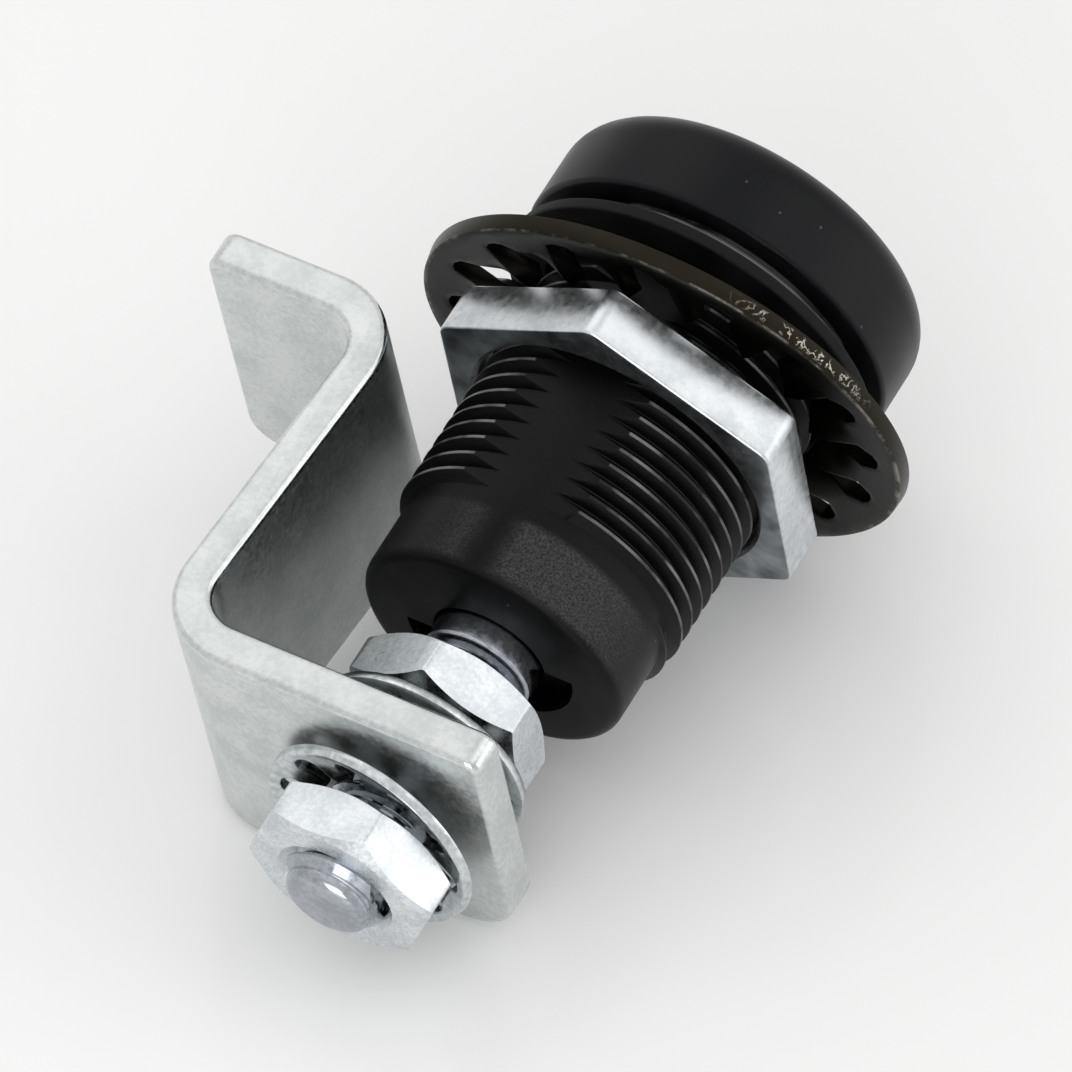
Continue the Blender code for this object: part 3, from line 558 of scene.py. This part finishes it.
def black_oxide():
    """Blackened spring steel with a browner rim and bright wear on it."""
    material, shader = new_material("black_oxide_on_spring_steel", 0.36, 0.85, gloss=0.2)
    position = add(material, "TexCoord", output="Object")
    arm, radius = from_axis(material, position)
    side = squareness(material, arm, RUBBED_SIDE)
    low, high = (WASHER_RIM - 0.45) * MM, (WASHER_RIM - 0.05) * MM
    on_rim = add(material, "MapRange", [radius, low, high, 0.0, 1.0])
    lifted = add(material, "VectorMath", [position, WASHER_AXIS], operation="DOT_PRODUCT")
    height = add(material, "Math", [lifted, WASHER_PLACE * MM], operation="SUBTRACT")
    off_middle = add(material, "Math", [height], operation="ABSOLUTE")
    middle = add(material, "MapRange", [off_middle, 0.15 * MM, 0.45 * MM, 1.0, 0.0])
    patch = add(material, "MapRange", [side, 0.93, 0.995, 0.0, 1.0])
    vein = add(
        material,
        "TexNoise",
        {"Vector": position, "Scale": per_mm(VEIN_SPACING), "Detail": 4.0, "Roughness": 0.6},
    )
    vein = add(material, "Math", [vein, 0.5], operation="SUBTRACT")
    off_vein = add(material, "Math", [vein], operation="ABSOLUTE")
    lines = add(material, "MapRange", [off_vein, 0.006, 0.03, 1.0, 0.0])
    patched = add(material, "Math", [lines, patch], operation="MULTIPLY")
    crazed = add(material, "Math", [patched, middle], operation="MULTIPLY")
    breaks = add(
        material, "TexNoise", {"Vector": position, "Scale": per_mm(2.2), "Detail": 4.0, "Roughness": 0.7}
    )
    broken = add(material, "MapRange", [breaks, 0.47, 0.62, 0.0, 1.0])
    corner = add(material, "MapRange", [height, 0.5 * MM, 0.62 * MM, 0.0, 0.45])
    edged = add(material, "Math", [corner, broken], operation="MULTIPLY")
    worn = add(material, "Math", [crazed, edged], operation="MAXIMUM")
    scuff = add(material, "Math", [on_rim, worn], operation="MULTIPLY")
    tone = add(material, "TexNoise", {"Vector": position, "Scale": per_mm(2.4), "Detail": 4.0})
    oxide = add(material, "ValToRGB", [tone], ramp=((0.35, "0b0a08"), (0.7, "171611")))
    rim = add(material, "Mix", [on_rim, oxide, "27241d"], data_type="RGBA")
    add(material, "Mix", [scuff, rim, "c4bfb2"], to=shader["Base Color"], data_type="RGBA")
    scale = add(material, "TexNoise", {"Vector": position, "Scale": per_mm(0.6), "Detail": 4.0})
    add(material, "Bump", {"Height": scale, "Strength": 0.35, "Distance": 0.03 * MM}, to=shader["Normal"])
    return material


# Blackened in a hot bath and tumbled with others: warm brown-black, with bright scuffs on the rim.
oxide = black_oxide()

# %% [markdown]
# ## A thread's ridge
#
# The housing's thread shows most, so it is a true right-hand helix of 18 turns to the inch. A ridge is swept
# by a spin that climbs a little at each step. At both ends it sinks smoothly under the bar's surface, as a
# screw-cutting tool leaves it.

# %% One helical ridge
RIDGE_STEPS = 72
RUN_OUT_TURNS = 0.22
RIDGE_SINK = 0.3
RIDGE_FOOT = 0.46
RIDGE_TIP = 0.07
RUN_OUT_LEAST = 0.15


def ridge(root, crest, pitch, bottom, turns):
    """One helical ridge on a bar of radius root, with its flanks given as shares of the pitch."""
    base = root - RIDGE_SINK
    foot, tip = pitch * RIDGE_FOOT, pitch * RIDGE_TIP
    section = [(base, -foot), (root, -foot), (crest, -tip), (crest, tip), (root, foot), (base, foot)]
    corners = [(r, bottom + z) for r, z in section]
    shape = swept(corners, 360 * turns, round(RIDGE_STEPS * turns), climb=pitch / RIDGE_STEPS)
    for vert in shape.verts:
        part = math.atan2(vert.co.y, vert.co.x) / FULL_TURN
        turn = part + round((vert.co.z - bottom) / pitch - part)
        left = max(0.0, min(1.0, min(turn, turns - turn) / RUN_OUT_TURNS))
        share = RUN_OUT_LEAST + (1 - RUN_OUT_LEAST) * left * left * (3 - 2 * left)
        radius = math.hypot(vert.co.x, vert.co.y)
        sunk = (base + (radius - base) * share) / radius
        vert.co.x *= sunk
        vert.co.y *= sunk
    return tidied(shape)


trial = ridge(5.0, 5.5, 1.0, 0.0, 2)
print("a ridge of two turns has", len(trial.faces), "faces")
trial.free()

# %% [markdown]
# ## The housing
#
# The housing is one moulding: a flange under the head, a screwed barrel with two flats, and a plain nose.
# The ridge is joined to the turned barrel, and then two boxes mill the flats, so that each turn runs out on
# the flat as the real one does. The window in the nose is the stop that the cam's swing runs against.

# %% Sizes of the housing
THREAD_ROOT = 10.2
THREAD_PITCH = 1.42
THREAD_FOOT = 1.2
FLAT_DISTANCE = 10.0
NOSE_END = 28.0
END_WALL = 24.0
SHAFT_BORE = 4.35
SLEEVE_BORE = 7.4
NECK_BORE = 6.7
HEAD_WELL = 9.1
WELL_FLOOR = -5.6
BARREL_START = 0.25
FLANGE_RADIUS = 12.0
FLANGE_LIP = 13.8
GASKET_BACK = -1.0
SEAT_GAP = 0.25
CAP_FRONT = -10.3
CAP_BACK = -2.55
FLANGE_FRONT = -8.45
WINDOW_SECTION = [(3.5, 23.0), (6.6, 23.0), (6.6, NOSE_END + 1), (3.5, NOSE_END + 1)]
print("the housing's thread has", round(25.4 / THREAD_PITCH, 1), "turns to the inch")

# %% Housing
def housing_shape():
    barrel = turned(
        [
            (SHAFT_BORE, NOSE_END, 0.2),
            (NOSE_RADIUS, NOSE_END, 0.9),
            (NOSE_RADIUS, THREAD_TOP + 0.3, 0.0),
            (THREAD_ROOT, THREAD_TOP, 0.0),
            (THREAD_ROOT, GASKET_BACK - SEAT_GAP, 0.0),
            (FLANGE_LIP, GASKET_BACK - SEAT_GAP, 0.1),
            (FLANGE_RADIUS, CAP_BACK, 0.0),
            (FLANGE_RADIUS, FLANGE_FRONT, 0.1),
            (HEAD_WELL, FLANGE_FRONT, 0.0),
            (HEAD_WELL, WELL_FLOOR, 0.0),
            (NECK_BORE, WELL_FLOOR, 0.0),
            (NECK_BORE, BARREL_START, 0.0),
            (SLEEVE_BORE, BARREL_START, 0.0),
            (SLEEVE_BORE, END_WALL, 0.0),
            (SHAFT_BORE, END_WALL, 0.0),
        ],
        steps=180,
    )
    turns = (THREAD_TOP - 0.7 - THREAD_FOOT) / THREAD_PITCH
    thread = ridge(THREAD_ROOT, THREAD_RADIUS, THREAD_PITCH, THREAD_FOOT, turns)
    screwed = combined(barrel, thread, "UNION")
    for side in (-1, 1):
        low, high = sorted((side * FLAT_DISTANCE, side * 14.0))
        screwed = combined(screwed, box((-14, low, BARREL_START), (14, high, NOSE_END + 1)), "DIFFERENCE")
    return combined(screwed, tidied(swept(WINDOW_SECTION, 180, 48)), "DIFFERENCE")


hand_over(housing_shape(), "housing_moulding", "housing_body", "housing", nylon)

# %% [markdown]
# ## The head
#
# The cap is a deep-drawn cup over the flange. Its face runs into its side with a large fillet, as the
# drawing tool leaves it, and the gasket shows behind it as a thin dark disc.

# %% Cap and gasket
def cap_shape():
    return turned(
        [
            (12.25, CAP_BACK, 0.15),
            (14.3, CAP_BACK, 0.45),
            (14.3, CAP_FRONT, 3.0),
            (7.65, CAP_FRONT, 0.25),
            (7.65, -8.7, 0.1),
            (12.25, -8.7, 0.2),
        ],
        fillet_steps=10,
        steps=192,
    )


def gasket_shape():
    return turned(
        [(11.3, 0, 0.1), (14.4, 0, 0.2), (14.4, GASKET_BACK, 0.2), (11.3, GASKET_BACK, 0.1)], steps=160
    )


hand_over(cap_shape(), "drawn_cap", "housing_body", "head_cap", lacquer)
hand_over(gasket_shape(), "gasket_ring", "housing_body", "panel_gasket", rubber)

# %% [markdown]
# ## The driver
#
# The driver is turned, then its hexagon socket is broached and countersunk. Two slots climb through its
# tube: as it turns, they push the cross pin along the sleeve, which moves the shaft by five millimetres.

# %% Driver
SLOT_SECTION = [(3.3, 6.2), (6.8, 6.2), (6.8, 9.7), (3.3, 9.7)]
SLOT_SPAN = 128
SLOT_STEPS = 36
SLOT_CLIMB = 0.197
SLOT_STARTS = (-109, 71)
KEY_ACROSS = 8.0


def driver_shape():
    shape = turned(
        [
            (0, -0.9, 0),
            (4.25, -0.9, 0),
            (4.25, 17.0, 0.2),
            (5.8, 17.0, 0.2),
            (5.8, 0.0, 0),
            (6.6, 0.0, 0.1),
            (6.6, -1.3, 0),
            (5.0, -1.3, 0),
            (5.0, -3.3, 0),
            (6.6, -3.3, 0),
            (6.6, -6.65, 0.1),
            (9.0, -6.65, 0.1),
            (9.0, FLANGE_FRONT, 0.1),
            (7.4, FLANGE_FRONT, 0.1),
            (7.4, -10.2, 0.35),
            (0, -10.2, 0),
        ]
    )
    socket = hexagon(KEY_ACROSS, -12, -3.9, 30)
    mouth = turned([(0, -9.75, 0), (4.4, -9.75, 0), (5.2, -10.8, 0), (0, -10.8, 0)], steps=72)
    slots = [tidied(swept(SLOT_SECTION, SLOT_SPAN, SLOT_STEPS, SLOT_CLIMB, start)) for start in SLOT_STARTS]
    for cutter in (socket, mouth, *slots):
        shape = combined(shape, cutter, "DIFFERENCE")
    return shape


hand_over(driver_shape(), "key_driver", "driver_body", "driver", black_zinc)

# %% [markdown]
# ## The panel nut
#
# The panel nut is sawn from hexagon bar, so its corners are only broken. Its bore clears the housing's
# thread, with a countersink on both sides.

# %% Panel nut
PANEL_NUT = {"across": 26.4, "bottom": 6.2, "top": 10.2, "turn": -30.4}
NUT_BORE = 11.25
NUT_MOUTH = 12.6
COUNTERSINK = 0.35


def panel_nut_shape():
    back, top = PANEL_NUT["bottom"], PANEL_NUT["top"]
    blank = hexagon(**PANEL_NUT)
    uprights = [e for e in blank.edges if abs(e.verts[0].co.z - e.verts[1].co.z) > 1]
    rolled(blank, uprights, 0.7, 4)
    rolled(blank, sharp_edges(blank, 40), 0.22, 3)
    bore = turned(
        [
            (0, top + 1, 0),
            (NUT_MOUTH, top + 1, 0),
            (NUT_BORE, top - COUNTERSINK, 0),
            (NUT_BORE, back + COUNTERSINK, 0),
            (NUT_MOUTH, back - 1, 0),
            (0, back - 1, 0),
        ]
    )
    return combined(blank, bore, "DIFFERENCE")


hand_over(
    panel_nut_shape(), "panel_hexagon_nut", "housing_body", "panel_nut", panel_nut_zinc
)

# %% [markdown]
# ## The jam nuts
#
# The jam nuts are cold formed: a turned bevel of 30 degrees cuts their six corners, which draws the curved
# line on each flat. The bore is cut with a threaded bar, so that the turns of the nut's own thread show
# beside the shaft's flats.

# %% Jam nuts
JAM_ACROSS = 13.0
JAM_THICKNESS = 4.0
JAM_BEVEL = math.tan(math.radians(30))
BOLT_RADIUS = 4.0
BOLT_ROOT = 3.4
BOLT_PITCH = 1.25
BOLT_FIT = 0.1


def threaded_bar(radius, root, bottom, top):
    """A bar with the 8 mm thread; the ridge starts a turn below it, so that its run-outs lie outside."""
    core = turned([(0, top, 0), (root, top, 0), (root, bottom, 0), (0, bottom, 0)], steps=RIDGE_STEPS)
    thread = ridge(root, radius, BOLT_PITCH, bottom - BOLT_PITCH, (top - bottom) / BOLT_PITCH + 2)
    return combined(core, thread, "UNION")


def jam_nut_shape(back, turn):
    top = back + JAM_THICKNESS
    corner = JAM_ACROSS / math.sqrt(3)
    drop = 1.25 * JAM_BEVEL
    face = corner - 1.3
    rim = corner - 0.05
    bevels = turned(
        [
            (0, top, 0),
            (face, top, 0.3),
            (rim, top - drop, 0),
            (rim, back + drop, 0),
            (face, back, 0.3),
            (0, back, 0),
        ]
    )
    blank = combined(hexagon(JAM_ACROSS, back, top, turn), bevels, "INTERSECT")
    root = BOLT_ROOT + BOLT_FIT
    crest = BOLT_RADIUS + BOLT_FIT
    mouth = turned(
        [
            (0, top + 1, 0),
            (5.5, top + 1, 0),
            (crest, top - 0.4, 0),
            (root, top - 0.9, 0),
            (root, back + 0.9, 0),
            (crest, back + 0.4, 0),
            (5.5, back - 1, 0),
            (0, back - 1, 0),
        ],
        steps=96,
    )
    blank = combined(blank, mouth, "DIFFERENCE")
    return combined(blank, threaded_bar(crest, root, back - 1, top + 1), "DIFFERENCE")


for nut_name, nut_node, nut_back, nut_turn in (
    ("inner_formed_nut", "inner_jam_nut", 31.8, -30.0),
    ("outer_formed_nut", "outer_jam_nut", 45.3, -54.0),
):
    jam_nut = jam_nut_shape(nut_back, nut_turn)
    hand_over(jam_nut, nut_name, "shaft_body", nut_node, nut_zinc)

# %% [markdown]
# ## Shaft
#
# The shank is plain where it slides in the housing and screwed beyond, with two flats milled along the
# thread to key the cam. Its end is turned to a low dome.

# %% Shaft
SCREW_END = 51.0
SCREW_FLAT = 3.2
SHANK_RADIUS = 4.15
SHANK_START = 5.0
SHANK_END = 30.0
RELIEF_END = 30.6


def shaft_shape():
    screw = threaded_bar(BOLT_RADIUS, BOLT_ROOT, RELIEF_END + 0.3, SCREW_END)
    ends = turned(
        [
            (0, SCREW_END, 0),
            (3.25, SCREW_END, 0.85),
            (3.25, 49.95, 0.1),
            (4.2, 49.5, 0),
            (4.2, RELIEF_END, 0),
            (0, RELIEF_END, 0),
        ]
    )
    screw = combined(screw, ends, "INTERSECT")
    for side in (-1, 1):
        low, high = sorted((side * SCREW_FLAT, side * 6.0))
        screw = combined(screw, box((low, -6, SHANK_END), (high, 6, SCREW_END + 1)), "DIFFERENCE")
    shank = turned(
        [
            (0, RELIEF_END + 0.05, 0),
            (BOLT_ROOT, RELIEF_END + 0.05, 0),
            (BOLT_ROOT, SHANK_END, 0),
            (SHANK_RADIUS, SHANK_END, 0.35),
            (SHANK_RADIUS, SHANK_START, 0.3),
            (0, SHANK_START, 0),
        ]
    )
    return combined(shank, screw, "UNION")


hand_over(shaft_shape(), "drawn_shaft", "shaft_body", "shaft", shaft_zinc)

# %% [markdown]
# ## Cam
#
# The cam is a strip of 3 mm steel, 22 mm wide, bent twice. Its edge is drawn as a filleted band and pushed
# out to the strip's width. Its four corners are rounded one by one, and then every edge is rolled as
# blanking and tumbling leave it.

# %% Cam
CAM_WIDTH = 22.2
CAM_THICKNESS = 3.0
CAM_HEEL = -8.9
CAM_TIP = 29.5
SEAT_LOW, SEAT_HIGH = 39.3, 42.3
FOOT_LOW, FOOT_HIGH = 10.8, 13.8
BEND_INSIDE, BEND_OUTSIDE = 3.0, 6.0
LEG_OUTSIDE, LEG_INSIDE = 18.3, 15.28
LEG_LEAN = 1.9
CAM_CORNERS = (
    (CAM_HEEL, SEAT_LOW, 1, 4.5),
    (CAM_HEEL, SEAT_LOW, -1, 1.2),
    (CAM_TIP, FOOT_LOW, 1, 2.6),
    (CAM_TIP, FOOT_LOW, -1, 1.4),
)


def corner_edges(shape, x, low, side):
    """The short upright edge at one of the strip's corners."""
    middle = low + CAM_THICKNESS / 2
    return [
        e
        for e in shape.edges
        if all(
            abs(v.co.x - x) < 0.01 and v.co.y * side > 0 and abs(v.co.z - middle) < CAM_THICKNESS
            for v in e.verts
        )
    ]


def cam_shape():
    outline = filleted(
        [
            (CAM_HEEL, SEAT_HIGH, 0),
            (LEG_OUTSIDE, SEAT_HIGH, BEND_OUTSIDE),
            (LEG_OUTSIDE - LEG_LEAN, FOOT_HIGH, BEND_INSIDE),
            (CAM_TIP, FOOT_HIGH, 0),
            (CAM_TIP, FOOT_LOW, 0),
            (LEG_INSIDE - LEG_LEAN, FOOT_LOW, BEND_OUTSIDE),
            (LEG_INSIDE, SEAT_LOW, BEND_INSIDE),
            (CAM_HEEL, SEAT_LOW, 0),
        ],
        steps=14,
    )
    shape = bmesh.new()
    face = shape.faces.new([shape.verts.new((p.x, -CAM_WIDTH / 2, p.y)) for p in outline])
    pushed = bmesh.ops.extrude_face_region(shape, geom=[face])
    moved = [v for v in pushed["geom"] if isinstance(v, bmesh.types.BMVert)]
    bmesh.ops.translate(shape, verts=moved, vec=(0, CAM_WIDTH, 0))
    tidied(shape)
    for x, low, side, radius in CAM_CORNERS:
        rolled(shape, corner_edges(shape, x, low, side), radius, 8)
    rolled(shape, sharp_edges(shape, 50), 0.5, 4)
    hole = turned([(0, 44, 0), (4.15, 44, 0), (4.15, 38, 0), (0, 38, 0)], steps=72)
    hole = combined(hole, box((-3.35, -6, 37), (3.35, 6, 45)), "INTERSECT")
    return combined(shape, hole, "DIFFERENCE")


hand_over(cam_shape(), "cranked_cam", "shaft_body", "cam", cam_zinc)

# %% [markdown]
# ## Tooth washers
#
# A tooth washer is a ring whose inside is cut into teeth, each twisted so that its edges bite. A flat grid
# makes it: the cells between the teeth are deleted, the strip is wrapped into a dished ring, the teeth are
# twisted, and Solidify's operator gives it its wall.

# %% The washers' grid
COLUMNS, TOOTH_COLUMNS = 14, 9
ROWS, RING_ROWS = 9, 3
TOOTH_SHARE = 0.52
TOOTH_TAPER = 0.1
GAP_ARCH = 0.45
TWIST_RISE = 1.6


def tooth_grid(teeth):
    """A flat strip with COLUMNS columns for each tooth, and nothing between the teeth."""
    shape = bmesh.new()
    bmesh.ops.create_grid(shape, x_segments=teeth * COLUMNS, y_segments=ROWS, size=0.5)
    gone = []
    for face in shape.faces:
        middle = face.calc_center_median()
        column = int((middle.x + 0.5) * teeth * COLUMNS) % COLUMNS
        row = int((middle.y + 0.5) * ROWS)
        if column >= TOOTH_COLUMNS and row >= RING_ROWS:
            gone.append(face)
    bmesh.ops.delete(shape, geom=gone, context="FACES")
    return shape


def across_tooth(step):
    """Where a column lies in its tooth's share of the ring, from 0 to 1: the tooth first, then the gap."""
    if step <= TOOTH_COLUMNS:
        return step / TOOTH_COLUMNS * TOOTH_SHARE
    return TOOTH_SHARE + (step - TOOTH_COLUMNS) / (COLUMNS - TOOTH_COLUMNS) * (1 - TOOTH_SHARE)


trial = tooth_grid(10)
print("the strip for ten teeth has", len(trial.faces), "faces")
trial.free()

# %% The washers' shape
def wrapped(shape, radius, width, bore, teeth, dish, twist, first):
    """Wraps the strip into a ring with arched gaps and twisted teeth; dish is how far the teeth drop."""
    inner = radius - width
    for vert in shape.verts:
        across = (vert.co.x + 0.5) * teeth
        step = round((across % 1) * COLUMNS) % COLUMNS
        row = round((vert.co.y + 0.5) * ROWS)
        inwards = max(row - RING_ROWS, 0) / (ROWS - RING_ROWS)
        part = across_tooth(step)
        beside = 0.0
        arch = 0.0
        if step <= TOOTH_COLUMNS:
            beside = part / TOOTH_SHARE - 0.5
            part = TOOTH_SHARE / 2 + (part - TOOTH_SHARE / 2) * (1 - TOOTH_TAPER * inwards)
        else:
            gap = (part - TOOTH_SHARE) / (1 - TOOTH_SHARE) * 2 - 1
            arch = math.sqrt(max(0.0, 1 - gap * gap))
        if row <= RING_ROWS:
            r = radius - width * row / RING_ROWS + arch * width * GAP_ARCH * row / RING_ROWS
        else:
            r = inner + (bore - inner) * inwards
        angle = FULL_TURN * (math.floor(across + 1e-6) + part) / teeth + math.radians(first)
        height = 2 * beside * twist * min(1, TWIST_RISE * inwards) - dish * (radius - r) / (radius - bore)
        vert.co = (r * math.cos(angle), r * math.sin(angle), height)
    bmesh.ops.remove_doubles(shape, verts=shape.verts, dist=1e-3)
    bmesh.ops.recalc_face_normals(shape, faces=shape.faces)
    if sum(f.normal.z for f in shape.faces) < 0:
        bmesh.ops.reverse_faces(shape, faces=shape.faces)
    return shape


def washer_shape(radius, width, bore, teeth, thickness, dish, twist, place, lean, first=0.0):
    """A dished tooth washer that lies leaning on the thread, by lean degrees about X and Y."""
    shape = wrapped(tooth_grid(teeth), radius, width, bore, teeth, dish, twist, first)
    bmesh.ops.solidify(shape, geom=shape.faces[:], thickness=thickness)
    bmesh.ops.translate(shape, verts=shape.verts, vec=(0, 0, thickness / 2))
    bmesh.ops.recalc_face_normals(shape, faces=shape.faces)
    rolled(shape, sharp_edges(shape, 50), 0.12, 2)
    for degrees, axis in zip(lean, "XY"):
        bmesh.ops.rotate(shape, verts=shape.verts, matrix=Matrix.Rotation(math.radians(degrees), 3, axis))
    bmesh.ops.translate(shape, verts=shape.verts, vec=(0, 0, place))
    return shape


print("a gap takes", round((1 - TOOTH_SHARE) * 100), "per cent of each tooth's share of the ring")

# %% The three washers
big_washer = washer_shape(
    WASHER_RIM,
    width=3.2,
    bore=11.6,
    teeth=16,
    thickness=1.3,
    dish=0.9,
    twist=-0.8,
    place=3.1,
    lean=(-5.2, -2.4),
    first=2.0,
)
hand_over(big_washer, "oxide_tooth_washer", "housing_body", "panel_lock_washer", oxide)
for washer_name, washer_node, washer_place, washer_lean, washer_dish in (
    ("inner_tooth_washer", "inner_lock_washer", 37.1, (2.0, 0.0), -1.0),
    ("outer_tooth_washer", "outer_lock_washer", 44.5, (4.0, 4.5), 1.0),
):
    small_washer = washer_shape(
        8.1,
        width=8.1 - SMALL_RING_INSIDE,
        bore=4.35,
        teeth=10,
        thickness=0.8,
        dish=washer_dish,
        twist=0.15,
        place=washer_place,
        lean=washer_lean,
    )
    hand_over(small_washer, washer_name, "shaft_body", washer_node, washer_zinc_with_painted_shade)

# %% [markdown]
# ## The pieces inside
#
# The sleeve, pin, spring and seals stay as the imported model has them. They hardly show, and need only
# their finish.

# %% Finishes for the inner pieces
INNER_FINISHES = {
    "guide_sleeve": nylon,
    "cross_pin": spring_steel,
    "compression_spring": spring_steel,
    "spring_seat": spring_steel,
    "thrust_washer": spring_steel,
    "cap_snap_ring": spring_steel,
    "cap_seal": rubber,
    "driver_o_ring": rubber,
}
for node_name, finish in INNER_FINISHES.items():
    for material_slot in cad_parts[node_name].material_slots:
        material_slot.material = finish
print("inner pieces finished:", len(INNER_FINISHES))

# %% [markdown]
# ## Floor
#
# The latch lies on the rim of its big washer and the lower edge of its cam, so its axis points a little
# upwards. The frame keeps the axis level, and so the floor slopes up under it instead. Past the latch it
# falls away to the level, so that it never hides the latch from a low view.

# %% The floor's height
SLOPE = 0.19
REST_Y = 3.0
REST_Z = -18.75
LEVEL_Z = -27.0
SLOPE_CENTRE = (5, 18)
SLOPE_ENDS = (75.0, 210.0)


def floor_height(x, y):
    """The floor's height in millimetres, sloped under the latch and level far away."""
    away = math.hypot(x - SLOPE_CENTRE[0], y - SLOPE_CENTRE[1])
    fade = min(1.0, max(0.0, (away - SLOPE_ENDS[0]) / (SLOPE_ENDS[1] - SLOPE_ENDS[0])))
    fade = fade * fade * (3 - 2 * fade)
    return (REST_Z + SLOPE * (y - REST_Y)) * (1 - fade) + LEVEL_Z * fade


print("the floor under the washer lies at", floor_height(0, REST_Y), "mm")

# %% [markdown]
# ### Coated card
#
# The floor is a white sheet with a smooth coating, in which the latch mirrors softly. The camera and the
# metal see it slightly lighter than the lamps make it, which keeps the background pale while the latch's
# shadow stays.

# %% Coated card
CARD_LIFT = 0.06


def coated_card():
    """White card with a satin coating; the lift shines only on camera, glossy and transmission rays."""
    material, shader = new_material("white_coated_card", 0.17, 0.0, gloss=0.25)
    shader["Base Color"].default_value = linear("ececec")
    shader["Emission Color"].default_value = linear("ffffff")
    camera_ray = add(material, "LightPath", output="Is Camera Ray")
    glossy_ray = add(material, "LightPath", output="Is Glossy Ray")
    through_ray = add(material, "LightPath", output="Is Transmission Ray")
    seen = add(material, "Math", [camera_ray, glossy_ray], operation="MAXIMUM")
    seen = add(material, "Math", [seen, through_ray], operation="MAXIMUM")
    add(material, "Math", [seen, CARD_LIFT], to=shader["Emission Strength"], operation="MULTIPLY")
    return material


# Coated and pressed smooth at the mill: an even white skin, in which things mirror softly.
card = coated_card()

# %% Floor
FLOOR_REACH = 3000
FLOOR_CROWDING = 2.6

floor_shape = bmesh.new()
bmesh.ops.create_grid(floor_shape, x_segments=120, y_segments=120, size=1.0)
for floor_vert in floor_shape.verts:
    floor_x, floor_y = (
        math.copysign(abs(part) ** FLOOR_CROWDING, part) * FLOOR_REACH for part in floor_vert.co[:2]
    )
    floor_vert.co = (floor_x, floor_y, floor_height(floor_x, floor_y))
bmesh.ops.scale(floor_shape, verts=floor_shape.verts, vec=(MM, MM, MM))
floor_mesh = bpy.data.meshes.new("floor")
floor_shape.to_mesh(floor_mesh)
floor_shape.free()
floor_mesh.shade_smooth()
floor_mesh.materials.append(card)
floor = bpy.data.objects.new("floor", floor_mesh)
bpy.context.scene.collection.objects.link(floor)
print("the floor has", len(floor_mesh.polygons), "faces")

# %% [markdown]
# ## Light
#
# A pale room does most of the work, as in a light tent. Three softboxes stand on the head's side, where the
# nuts' upper flats throw them back at the camera. One hangs overhead, and the last one stands in front and
# fills the faces that look along the shaft.

# %% World and lamps
WORLD_STRENGTH = 0.88
AIM = Vector((0.005, 0.018, 0.0))
SOFTBOXES = {
    "low_left_softbox": ((-0.72, -0.34, 0.12), 0.5, 0.78),
    "high_left_softbox": ((-0.43, -0.34, 0.58), 0.5, 0.52),
    "high_right_softbox": ((0.42, -0.34, 0.60), 0.5, 0.45),
    "overhead_softbox": ((0.05, 0.02, 0.85), 0.6, 0.25),
    "front_fill": ((-0.2, 0.75, 0.35), 0.6, 2.4),
}

world = bpy.data.worlds.new("studio")
bpy.context.scene.world = world
world.use_nodes = True
background = world.node_tree.nodes["Background"].inputs
background["Color"].default_value = linear("f6f6f5")
background["Strength"].default_value = WORLD_STRENGTH
for lamp_name, (lamp_place, lamp_side, lamp_power) in SOFTBOXES.items():
    lamp = bpy.data.lights.new(lamp_name, "AREA")
    lamp.shape = "RECTANGLE"
    lamp.size = lamp_side
    lamp.size_y = lamp_side
    lamp.energy = lamp_power
    softbox = bpy.data.objects.new(lamp_name, lamp)
    softbox.location = lamp_place
    softbox.rotation_euler = (AIM - Vector(lamp_place)).to_track_quat("-Z", "Y").to_euler()
    bpy.context.scene.collection.objects.link(softbox)
print("softboxes:", len(SOFTBOXES))

# %% [markdown]
# ## Camera
#
# The camera looks down over the cam's side from eighty centimetres, with a long lens, as product pictures
# are taken, so that near and far pieces keep their proportions.

# %% Camera
CAMERA_PLACE = (-0.2928, 0.3600, 0.6584)
CAMERA_RIGHT = Vector((-0.861, -0.491, -0.131)).normalized()
CAMERA_VIEW = Vector((0.369, -0.428, -0.825)).normalized()

lens = bpy.data.cameras.new("camera")
lens.sensor_width = 36.0
lens.lens = 386.5
camera = bpy.data.objects.new("camera", lens)
camera_up = CAMERA_RIGHT.cross(CAMERA_VIEW).normalized()
camera_turn = Matrix((CAMERA_VIEW.cross(camera_up).normalized(), camera_up, -CAMERA_VIEW)).transposed()
camera.matrix_world = Matrix.Translation(CAMERA_PLACE) @ camera_turn.to_4x4()
bpy.context.scene.collection.objects.link(camera)
bpy.context.scene.camera = camera
bpy.context.scene.view_settings.view_transform = "Standard"
print("the camera stands", round((Vector(CAMERA_PLACE) - AIM).length, 3), "m from the latch")
